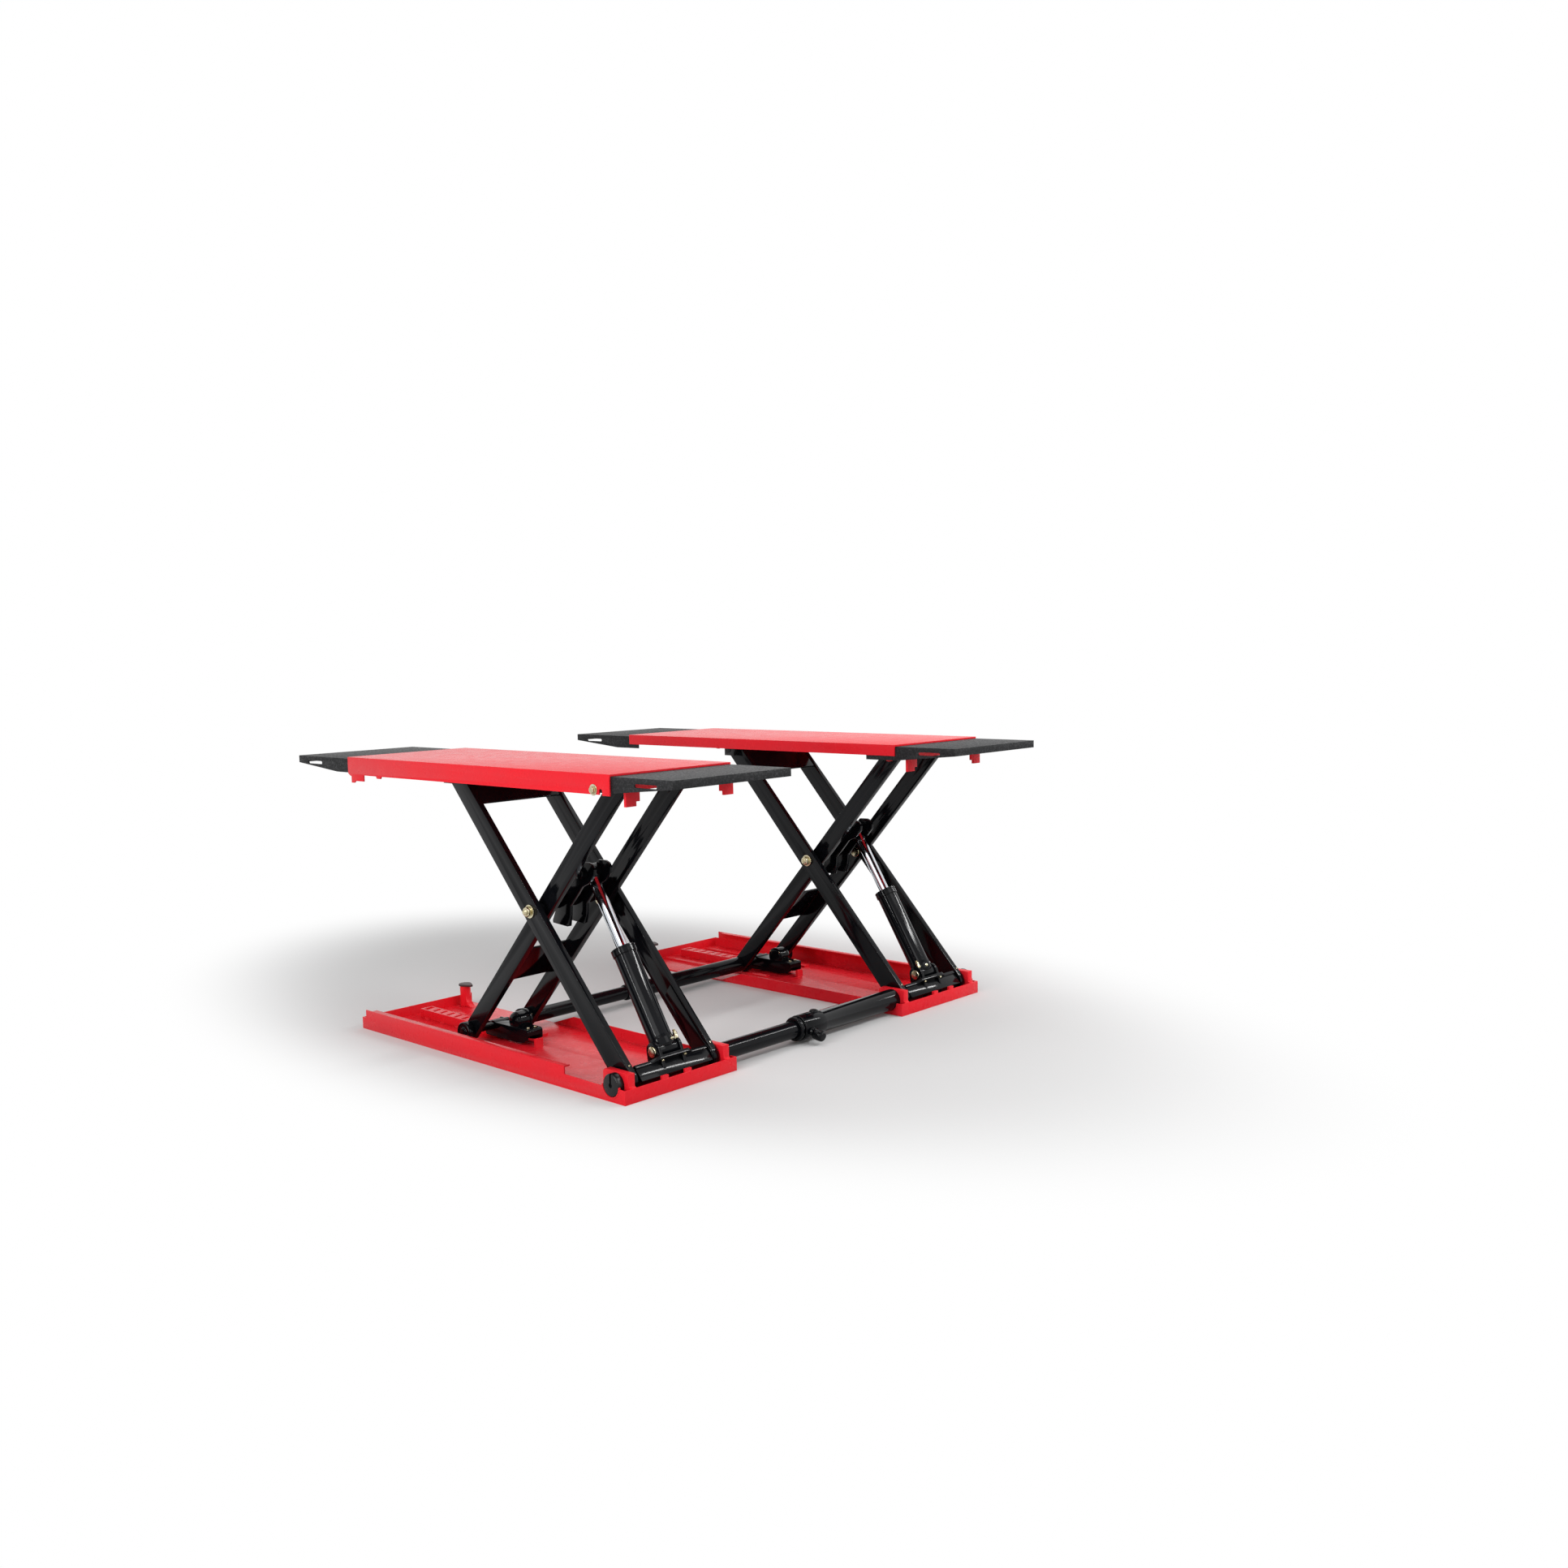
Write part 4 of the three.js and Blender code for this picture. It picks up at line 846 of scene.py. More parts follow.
@dataclass
class LegSet:
    """Both pairs of legs: flame-cut flat bars joined by cross plates, powder coated black."""

    unit: Unit
    edge_mm: float = 1.6
    foot_radius_mm: float = 40.0
    half_width_mm: float = 33.0
    outer_y_mm: Pair = (55.0, 77.0)
    inner_y_mm: Pair = (106.0, 128.0)
    tube_radius_mm: float = 30.3
    shaft_radius_mm: float = 12.5
    pin_radius_mm: float = 12.3
    deck_pin_radius_mm: float = 11.3
    plate_across_mm: Pair = (25.0, 33.0)
    top_plate_mm: Pair = (-150.0, -20.0)
    foot_plate_mm: Pair = (226.0, 392.0)
    crossing_plate_mm: Pair = (-45.0, 58.0)
    bead_mm: float = 2.8
    cheek_y_mm: Pair = (197.5, 209.2)
    boss_y_mm: Pair = (183.5, 199.0)
    ram_head_mm: Pair = (145.0, 12.0)
    cheek_shape: tuple[Pair, ...] = (
        (-20, -20), (112, -21), (146, -36), (184, -36), (198, -26), (202, -8), (196, 8), (172, 33),
        (-20, 35))
    lug_shape: tuple[Pair, ...] = (
        (-36, 12), (-44, -8), (-68, -58), (-66, -66), (8, -71), (17, -69), (24, -30), (27, 10))
    doubler_shape: tuple[Pair, ...] = (
        (1318, 64), (1325.6, 62), (1324.5, 76), (1321.3, 89), (1316, 102), (1309, 113.5),
        (1300.6, 129), (1291.5, 144.3), (1278, 160), (1261, 176.5), (1242.3, 193.1), (1220, 211),
        (1206, 226))
    doubler_top: tuple[Pair, ...] = ((262, 29.5), (48, 29.5), (8, 37.5))
    doubler_radius_mm: float = 37.5
    doubler_mm: float = 3.5
    nipple_shape: Profile = ((0, 5.0), (2.6, 5.0), (2.0, 8.5), (3.3, 10.5), (2.4, 13.0), (0, 13.8))
    nipple_lean_deg: float = 14.0
    nipple_y_mm: float = 66.0

    def build(self) -> None:
        """Models both pairs of legs."""
        self.outer()
        self.inner()
        self.doubler()
        self.nipples()

    def arm(self, outline: Sequence[Vector], y_mm: Sequence[float],
            holes: Sequence[tuple[Vector, float]]) -> Piece:
        """Cuts one arm with its holes.

        Args:
            outline: The arm's outline in the side view.
            y_mm: Its two faces, from the unit's outer side.
            holes: Centres and radii of its holes.

        Returns:
            The arm.
        """
        made = self.unit.side_plate(outline, *y_mm)
        for centre, radius in holes:
            made = self.unit.bored(made, centre, *y_mm, radius)
        return soften(made, self.edge_mm, 3)

    def cross_plate(self, origin: Vector, way: Vector, span_mm: Pair, face_mm: float) -> list[Piece]:
        """A cross plate square to a pair of legs and a millimetre into each, with its weld beads.

        Args:
            origin: Pin that the span is measured from.
            way: Way along the legs.
            span_mm: Where it starts and ends along them.
            face_mm: The arm's inner face, from the outer side.

        Returns:
            The plate and its beads.
        """
        (start, end), (low, high) = span_mm, self.plate_across_mm
        corners = [offset(origin, way, s, c)
                   for s, c in ((start, low), (start, high), (end, high), (end, low))]
        y_mm = face_mm - 1
        pieces = [soften(self.unit.side_plate(corners, y_mm, TRAY_WIDTH - y_mm), 1.2)]
        for y in (face_mm, TRAY_WIDTH - face_mm):
            pieces.append(weld(self.unit.beside(corners[0], y), self.unit.beside(corners[3], y),
                               self.bead_mm))
        return pieces

    def outer(self) -> None:
        """Outer legs: the arms, their cross plate and the stubs of the slide blocks."""
        unit = self.unit
        pivot, top = unit.pin("lift"), unit.pin("block_outer_turn")
        outline = link_outline(pivot, self.foot_radius_mm, top, self.half_width_mm)
        holes = [(pivot, self.tube_radius_mm), (unit.pin("cross"), self.pin_radius_mm)]
        pieces = []
        for flip in (False, True):
            pieces.append(self.arm(outline, unit.band(flip, *self.outer_y_mm), holes))
            stub = unit.band(flip, 27.7, self.outer_y_mm[0])
            pieces.append(soften(unit.shaft(top, *stub, self.shaft_radius_mm), 1.0))
        pieces += self.cross_plate(top, unit.outer_way(), self.top_plate_mm, self.outer_y_mm[1])
        unit.stand_in(pieces, "outer_legs", Slot.BLACK)

    def inner(self) -> None:
        """Inner legs: the arms, two cross plates, the fork, the foot shaft and the pins' spacers."""
        unit = self.unit
        foot, top, crossing = unit.pin("carriage_level"), unit.pin("deck_level"), unit.pin("cross")
        outline = link_outline(foot, self.half_width_mm * 0.9, top, self.half_width_mm)
        holes = [(crossing, self.pin_radius_mm), (top, self.deck_pin_radius_mm)]
        pieces = []
        for flip in (False, True):
            pieces.append(self.arm(outline, unit.band(flip, *self.inner_y_mm), holes))
            spacer = tube(12.4, 22.0, *unit.band(flip, 77.3, 106.2))
            pieces.append(soften(unit.ring(crossing, spacer, 48), 1.0))
        for origin, span in ((foot, self.foot_plate_mm), (crossing, self.crossing_plate_mm)):
            pieces += self.cross_plate(origin, unit.inner_way(), span, self.inner_y_mm[1])
        pieces.append(self.foot_shaft(foot))
        pieces += [self.fork_cheek(flip) for flip in (False, True)]
        unit.stand_in(pieces, "inner_legs", Slot.BLACK)

    def foot_shaft(self, foot: Vector) -> Piece:
        """The foot shaft with the ring that keeps the outer roller on it.

        Args:
            foot: The shaft's axis.

        Returns:
            The shaft.
        """
        r = self.shaft_radius_mm
        profile = [(0, 77.6), (14.5, 77.6), (16.0, 78.2), (16.0, 79.0), (r, 79.0), (r, 348.0),
                   (0, 348.0)]
        return soften(self.unit.ring(foot, profile, 48), 0.5, 1)

    def fork_cheek(self, flip: bool) -> Piece:
        """One cheek of the fork that takes the ram's head, with its lug and boss.

        Args:
            flip: Whether it is the cheek on the unit's inner side.

        Returns:
            The cheek.
        """
        unit, crossing, way = self.unit, self.unit.pin("cross"), self.unit.inner_way()
        faces = unit.band(flip, *self.cheek_y_mm)
        cheek = unit.side_plate([offset(crossing, way, s, c) for s, c in self.cheek_shape], *faces)
        lug = unit.side_plate([crossing + Vector((x, 0, z)) * MM for x, z in self.lug_shape], *faces)
        boss = tube(0, 20.0, *unit.band(flip, *self.boss_y_mm))
        return joined(soften(combined(cheek, lug, "UNION"), 1.2),
                      soften(unit.ring(offset(crossing, way, *self.ram_head_mm), boss, 48), 1.5))

    def doubler(self) -> None:
        """Doubler plate welded round the foot of the outer legs' inner arm."""
        unit, pivot, way = self.unit, self.unit.pin("lift"), self.unit.outer_way()
        face = TRAY_WIDTH - self.outer_y_mm[1]
        outline = [Vector((REAR_X + x * MM, 0, z * MM)) for x, z in self.doubler_shape]
        outline += [offset(pivot, way, s, c) for s, c in self.doubler_top]
        radius = self.doubler_radius_mm * MM
        outline += [pivot + raised(way) * (radius * math.cos(a)) - way * (radius * math.sin(a))
                    for a in (math.radians(d) for d in range(15, 150, 15))]
        made = combined(unit.side_plate(outline, face - self.doubler_mm, face + 0.3),
                        unit.shaft(pivot, face - 6, face + 4, self.tube_radius_mm))
        unit.dress([soften(made, 1.2, 3)], "leg_doubler", "outer", Slot.BLACK)

    def nipples(self) -> None:
        """Grease nipples in the feet of the outer legs."""
        unit, out, pieces = self.unit, leaning(self.nipple_lean_deg), []
        for y in (self.nipple_y_mm, TRAY_WIDTH - self.nipple_y_mm):
            foot = unit.beside(unit.pin("lift"), y) + out * ((self.foot_radius_mm - 1) * MM)
            pieces.append(hexagon_head(foot, out, 10.0, 5.0))
            pieces.append(turned(self.nipple_shape, foot, out, 24))
        unit.dress(pieces, "grease_nipples", "outer", Slot.ZINC)


@dataclass
class CrossingPin:
    """Zinc-plated bolt through both legs: washer and hexagon nut on the outer face, its thread
    standing out of the nut, and a retaining collar inside."""

    unit: Unit
    face_mm: float = 50.7
    washer_radius_mm: float = 22.0
    nut_across_mm: float = 34.0
    nut_height_mm: float = 14.0
    thread_radius_mm: float = 9.0

    def build(self) -> None:
        """Models the outer and the inner pin."""
        self.pin("outer", self.unit.inward(), 0.0)
        self.pin("inner", -self.unit.inward(), TRAY_WIDTH)

    def pin(self, half: str, way: Vector, start_mm: float) -> None:
        """Models one pin.

        Args:
            half: Which half of the unit it is in.
            way: Way from its nut to its collar.
            start_mm: The side that its distances are measured from.
        """
        unit, face, thread_r = self.unit, self.face_mm, self.thread_radius_mm
        foot = unit.beside(unit.pin("cross"), start_mm)
        shank = turned([(0, face), (12.0, face), (12.0, 128.3), (20.0, 128.3), (20.0, 133.3),
                        (19.0, 134.3), (0, 134.3)], foot, way, 48)
        washer = turned(tube(thread_r, self.washer_radius_mm, face, 54.6), foot, way, 56)
        pieces = [soften(shank, 0.6, 1), soften(washer, 0.6),
                  hexagon_head(foot + way * ((face + 0.1) * MM), -way, self.nut_across_mm,
                               self.nut_height_mm),
                  thread(foot + way * ((face - self.nut_height_mm + 1.0) * MM), -way, thread_r, 9.0)]
        unit.stand_in(pieces, f"crossing_pin_{half}", Slot.ZINC)


@dataclass
class RollerSet:
    """Foot rollers and slide blocks: turned steel rollers, painted black, with a hollow in each
    face that leaves a hub and a rim."""

    unit: Unit
    radius_mm: float = 36.0
    width_mm: float = 25.7
    bore_mm: float = 12.8
    starts_mm: Pair = (79.3, 320.0)

    def build(self) -> None:
        """Models both rollers and rounds the slide blocks."""
        unit, r, bore = self.unit, self.radius_mm, self.bore_mm
        for name, y0 in zip(("outer", "inner"), self.starts_mm):
            y1 = y0 + self.width_mm
            profile = [(bore, y0 + 0.2), (18.0, y0 + 0.2), (19.0, y0 + 2.2), (29.0, y0 + 2.2),
                       (30.5, y0), (r - 2.5, y0), (r, y0 + 2.5), (r, y1 - 2.5), (r - 2.5, y1),
                       (bore, y1)]
            roller = soften(unit.ring(unit.pin("carriage_level"), profile, 72), 0.4, 1, 25)
            unit.stand_in([roller], f"foot_roller_{name}", Slot.BLACK)
            unit.refine((f"slide_block_{name}", Slot.STEEL, 1.5, 2))


@dataclass
class CarriageSet:
    """Lock carriage: a sand casting with large radii, painted black, with the release cylinder's
    turned housing and its zinc-plated screws. The pawl is a forging."""

    unit: Unit
    edges: tuple[Edge, ...] = (
        ("lock_carriage", Slot.BLACK, 3.4, 4), ("lock_pawl", Slot.STEEL, 1.4, 3))
    cylinder_x_mm: float = 111.0
    cylinder_z_mm: float = 80.0
    cylinder_radius_mm: float = 33.3
    y_mm: Pair = (208.0, 268.0)
    flange_screws_deg: Pair = (40.0, 140.0)
    flange_screw_radius_mm: float = 30.5
    front_screws_y_mm: Pair = (222.0, 252.0)
    front_screws_x_mm: float = 178.0
    front_screws_z_mm: float = 64.0

    def build(self) -> None:
        """Models the carriage, its housing, its screws and the pawl."""
        self.unit.refine(*self.edges)
        self.housing()
        self.screws()

    def centre(self) -> Vector:
        """Middle of the housing in the side view."""
        foot = self.unit.pin("carriage_level")
        return Vector((foot.x + self.cylinder_x_mm * MM, foot.y, self.cylinder_z_mm * MM))

    def housing(self) -> None:
        """The cylinder's housing: a domed end, a groove and a flange."""
        (y0, y1), r = self.y_mm, self.cylinder_radius_mm
        dome = [(r * math.sin(a), y0 + 16.2 * (1 - math.cos(a)))
                for a in (math.radians(d) for d in range(0, 91, 10))]
        profile = [*dome, (r, y1 - 10.0), (r - 1.2, y1 - 9.2), (r - 1.2, y1 - 8.4), (36.2, y1 - 8.0),
                   (36.2, y1 + 0.3), (26.0, y1 + 0.3), (25.0, y1 + 1.6), (0, y1 + 1.6)]
        made = soften(self.unit.ring(self.centre(), profile, 72), 0.8, 2, 30)
        self.unit.dress([made], "release_cylinder", "carriage", Slot.BLACK)

    def screws(self) -> None:
        """Screws round the housing's flange and on the casting's front end."""
        unit, heads = self.unit, []
        for degrees in self.flange_screws_deg:
            place = self.centre() + leaning(90 - degrees) * (self.flange_screw_radius_mm * MM)
            heads.append(hexagon_head(unit.beside(place, self.y_mm[1] + 0.3), unit.inward(), 8.0, 3.2))
        x = unit.pin("carriage_level").x + self.front_screws_x_mm * MM
        for y in self.front_screws_y_mm:
            place = Vector((x, unit.across(y), self.front_screws_z_mm * MM))
            heads.append(hexagon_head(place, leaning(0), 12.0, 5.0))
        unit.dress(heads, "carriage_screws", "carriage", Slot.ZINC)


@dataclass
class RamSet:
    """Hydraulic ram: honed barrel with welded ends and screwed gland, painted black, a hard-chromed
    rod, and the pin and fittings in zinc plate."""

    unit: Unit
    length_mm: float = 626.56
    barrel_radius_mm: float = 38.0
    barrel_bore_mm: float = 31.0
    barrel_end_mm: float = 350.0
    gland_mm: float = 24.0
    rod_radius_mm: float = 19.0
    eye_radius_mm: float = 26.0
    foot_bore_mm: float = 13.0
    port_mm: float = 22.0
    bleed_mm: float = 18.0

    def build(self) -> None:
        """Models the barrel, rod, eyes, pin and fittings."""
        self.barrel()
        self.rod()
        self.foot_pin()
        self.port()

    def foot(self) -> Vector:
        """The ram's foot pin."""
        return self.unit.pin("ram_swing")

    def turned(self, profile: Profile, steps: int = 72) -> Piece:
        """Turns a profile of radius and distance from the foot pin round the ram's axis."""
        return turned(profile, self.foot(), self.unit.ram_way(), steps)

    def eye(self, centre: Vector, half_mm: float, bore_mm: float) -> Piece:
        """An eye across the ram's end, half its width to each side, solid where its bore is zero."""
        profile = tube(bore_mm, self.eye_radius_mm, MIDDLE - half_mm, MIDDLE + half_mm)
        return soften(self.unit.ring(centre, profile, 56), 1.4, 2)

    def barrel(self) -> None:
        """Barrel with its closing weld, foot eye and gland with spanner grooves."""
        r, end, gland = self.barrel_radius_mm, self.barrel_end_mm, self.gland_mm
        bore, rod = self.barrel_bore_mm, self.rod_radius_mm + 0.4
        closing = [(r + 0.9 - 0.4 * (i % 2), 32.0 + i * 1.2) for i in range(7)]
        body = self.turned([
            (0, 3.0), (r - 6.0, 3.0), (r - 1.2, 7.5), (r, 10.0), (r, 31.0), *closing, (r, 41.5),
            (r, end - gland - 3.0), (r - 1.0, end - gland - 2.0), (r - 1.0, end - gland),
            (40.0, end - gland), (41.0, end - gland + 1.0), (41.0, end - 9.0), (39.6, end - 8.4),
            (39.6, end - 6.6), (41.0, end - 6.0), (41.0, end - 1.2), (39.8, end), (24.0, end),
            (23.0, end - 2.0), (rod, end - 2.0), (rod, end - gland), (bore, end - gland), (bore, 48.0),
            (0, 48.0)])
        self.unit.stand_in([smooth(body, 28), self.eye(self.foot(), 38.0, self.foot_bore_mm)],
                           "ram_barrel", Slot.BLACK)

    def rod(self) -> None:
        """Rod with its piston, and the eye welded on its end."""
        r, end = self.rod_radius_mm, self.length_mm - self.eye_radius_mm
        body = self.turned([(0, 235.0), (30.7, 235.0), (30.7, 260.0), (r, 260.0), (r, end - 2.0),
                            (0, end - 2.0)])
        self.unit.stand_in([soften(body, 0.6, 2)], "ram_rod", Slot.CHROME)
        neck = self.turned([(0, end - 0.2), (22.6, end - 0.2), (24.0, end + 1.2), (24.0, end + 14.0),
                            (0, end + 14.0)], 56)
        head = self.foot() + self.unit.ram_way() * (self.length_mm * MM)
        self.unit.stand_in([self.eye(head, 28.0, 0.0), soften(neck, 0.6, 1)], "ram_rod_eye", Slot.BLACK)

    def foot_pin(self) -> None:
        """Foot pin with a head at each end."""
        half = [(0, -55.4), (16.2, -55.4), (17.7, -53.9), (17.7, -50.4), (12.7, -50.4)]
        profile = [(r, MIDDLE + y) for r, y in half] + [(r, MIDDLE - y) for r, y in reversed(half)]
        self.unit.stand_in([soften(self.unit.ring(self.foot(), profile, 48), 0.5, 1)],
                           "ram_foot_pin", Slot.ZINC)

    def port(self) -> None:
        """Oil port at the barrel's foot: a boss, a zinc elbow that turns up along the barrel with its
        plugged union, and a bleed screw beside it."""
        way, inward = self.unit.ram_way(), self.unit.inward()
        out = (raised(way) * 0.5 + inward * 0.86).normalized()
        foot = self.foot() + way * (self.port_mm * MM)
        boss = turned([(0, 34.0), (11.5, 34.0), (10.5, 41.0), (0, 41.0)], foot, out, 32)
        self.unit.dress([soften(boss, 0.8)], "ram_port", "barrel", Slot.BLACK)
        elbow = foot + out * (49.0 * MM)
        bend = turned([(0, -6.5), (4.0, -6.5), (6.2, -4.0), (6.2, 9.0), (0, 9.0)], elbow, way, 28)
        side = (raised(way) * 0.95 + inward * 0.3).normalized()
        bleed = self.foot() + way * (self.bleed_mm * MM)
        parts = [hexagon_head(foot + out * (40.8 * MM), out, 15.0, 5.0),
                 soften(bar(foot + out * (45.0 * MM), elbow, 5.0, 24), 0.6, 1),
                 soften(bend, 0.8, 2),
                 hexagon_head(elbow + way * (8.5 * MM), way, 15.0, 8.0),
                 thread(elbow + way * (16.0 * MM), way, 5.0, 8.0, 1.5),
                 hexagon_head(bleed + side * (37.0 * MM), side, 11.0, 4.0),
                 hexagon_head(bleed + side * (40.8 * MM), side, 7.5, 4.5)]
        self.unit.dress(parts, "ram_union", "barrel", Slot.ZINC)


@dataclass
class FrontTubeSet:
    """Front tube with the ram's foot bracket, and the turned cap in its outer end."""

    unit: Unit
    radius_mm: float = 30.0
    wall_mm: float = 5.0
    start_mm: float = 24.0
    edge_mm: float = 1.4
    cheek_mm: Pair = (187.4, 198.9)
    cheek_radii_mm: Pair = (36.0, 30.0)
    saddle_half_mm: float = 150.0
    saddle_shape: tuple[Pair, ...] = ((-30, 26), (26, 26), (26, 34), (-30, 34))
    web_mm: Pair = (13.0, 25.0)
    screw_y_mm: float = 47.0
    cap_radius_mm: float = 35.5
    slit_shape: tuple[Pair, ...] = ((-3.5, 4), (3.5, 4), (3.5, 40), (-3.5, 40))

    def build(self) -> None:
        """Models the tube and its cap."""
        self.tube()
        self.web_screws()
        self.cap()

    def tube(self) -> None:
        """Tube, cheeks, saddle and web."""
        unit, r, pivot = self.unit, self.radius_mm, self.unit.pin("lift")
        low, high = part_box(unit.name("front_tube"))
        end = self.start_mm + (high.y - low.y) / MM
        plain = unit.ring(pivot, tube(r - self.wall_mm, r, self.start_mm, end), 72)
        pieces = [soften(plain, 0.8, 1), self.saddle(), self.web()]
        lower, upper = self.cheek_radii_mm
        outline = link_outline(pivot, lower, unit.pin("ram_swing"), upper)
        for flip in (False, True):
            y0, y1 = unit.band(flip, *self.cheek_mm)
            cheek = unit.bored(unit.side_plate(outline, y0, y1), pivot, y0, y1, r - 0.6)
            pieces.append(soften(cheek, self.edge_mm))
            for y in (y0, y1):
                bead = unit.ring(pivot, [(r - 0.5, y - 2.2), (r + 2.4, y), (r - 0.5, y + 2.2)], 56)
                pieces.append(smooth(bead, 180))
        unit.stand_in(pieces, "front_tube", Slot.BLACK)

    def saddle(self) -> Piece:
        """Flat bar on top of the tube under the web.

        Returns:
            The bar.
        """
        pivot, way = self.unit.pin("lift"), self.unit.outer_way()
        outline = [offset(pivot, way, s, c) for s, c in self.saddle_shape]
        return soften(self.unit.side_plate(outline, MIDDLE - self.saddle_half_mm,
                                           MIDDLE + self.saddle_half_mm), self.edge_mm)

    def web(self) -> Piece:
        """Plate across the tube whose shoulders sweep up to a level top.

        Returns:
            The plate.
        """
        pivot, way = self.unit.pin("lift"), self.unit.outer_way()
        sweep = [(86 - 4 * i, 38 + 19 * math.sin(math.pi * i / 16)) for i in range(9)]
        half = [(self.saddle_half_mm, 20), (self.saddle_half_mm, 38), *sweep]
        outline = [offset(pivot, way, self.web_mm[0], c) + self.unit.inward() * (y * MM)
                   for y, c in half + [(-y, c) for y, c in reversed(half)]]
        return soften(plate(outline, way * ((self.web_mm[1] - self.web_mm[0]) * MM)), self.edge_mm, 3)

    def web_screws(self) -> None:
        """Zinc screws in the web's shoulders."""
        unit, way = self.unit, self.unit.outer_way()
        heads = [hexagon_head(offset(unit.beside(unit.pin("lift"), MIDDLE + y), way,
                                     self.web_mm[0] + 0.2, 46.0), -way, 12.0, 5.0)
                 for y in (-self.screw_y_mm, self.screw_y_mm)]
        unit.dress(heads, "web_screws", "outer", Slot.ZINC)

    def cap(self) -> None:
        """End cap: a chamfered disc with a plug and a keyhole for the spanner."""
        unit, pivot, r = self.unit, self.unit.pin("lift"), self.cap_radius_mm
        profile = [(0, -1.0), (r - 3.0, -1.0), (r, 2.0), (r, 23.7), (24.7, 23.7), (24.7, 46.0),
                   (0, 46.0)]
        disc = soften(unit.ring(pivot, profile, 72), 0.6, 1)
        slit = unit.side_plate([pivot + Vector((x, 0, z)) * MM for x, z in self.slit_shape], -3.0, 5.0)
        disc = combined(combined(disc, slit), unit.shaft(pivot, -3.0, 5.0, 7.5, 32))
        unit.stand_in([smooth(disc, 30)], "front_tube_cap", Slot.STEEL)


@dataclass
class DeckSet:
    """Deck with its pins, lock bolt and pull-out extensions: folded sheet steel in red, and
    channels with a black anti-slip coat."""

    unit: Unit
    edges: tuple[Edge, ...] = (
        ("deck", Slot.RED, 2.2, 3), ("front_extension", Slot.GRIT, 1.4, 2),
        ("rear_extension", Slot.GRIT, 1.4, 2))
    bolt_x_mm: float = 1370.0
    bolt_z_mm: float = 947.0
    face_mm: float = -14.3
    lug_x_mm: float = 1441.5
    lug_z_mm: Pair = (957.0, 981.0)
    lug_faces_mm: tuple[float, ...] = (36.0, 48.0, 427.0, 439.0)

    def build(self) -> None:
        """Models the deck's pieces."""
        self.unit.refine(*self.edges)
        self.pins()
        self.lock_bolt()
        self.lug_welds()

    def pins(self) -> None:
        """Headed pins between deck ribs and inner legs."""
        outer = [(0, 78.0), (14.5, 78.0), (16.0, 79.5), (16.0, 84.0), (11.0, 84.0), (11.0, 128.3),
                 (16.0, 128.3), (16.0, 132.8), (14.5, 134.3), (0, 134.3)]
        inner = [(r, TRAY_WIDTH - y) for r, y in outer]
        for name, profile in (("deck_pin_outer", outer), ("deck_pin_inner", inner)):
            made = soften(self.unit.ring(self.unit.pin("deck_level"), profile, 48), 0.5, 1)
            self.unit.stand_in([made], name, Slot.ZINC)

    def lock_bolt(self) -> None:
        """Hexagon bolt with a washer in the outer rail."""
        unit, face = self.unit, self.face_mm
        centre = unit.at(self.bolt_x_mm, 0, self.bolt_z_mm)
        profile = [(0, face - 3.0), (17.0, face - 3.0), (17.0, face), (6.0, face), (6.0, face + 5.0),
                   (0, face + 5.0)]
        head = hexagon_head(unit.beside(centre, face - 2.9), -unit.inward(), 22.0, 8.0)
        washer = soften(unit.ring(centre, profile, 56), 0.5, 1)
        unit.stand_in([washer, head], "deck_lock_bolt", Slot.ZINC)

    def lug_welds(self) -> None:
        """Beads where the front lugs' arms meet the cross bar."""
        at, (low, high) = self.unit.at, self.lug_z_mm
        beads = [weld(at(self.lug_x_mm, y, low), at(self.lug_x_mm, y, high), 2.4)
                 for y in self.lug_faces_mm]
        self.unit.dress(beads, "deck_welds", "platform", Slot.RED)


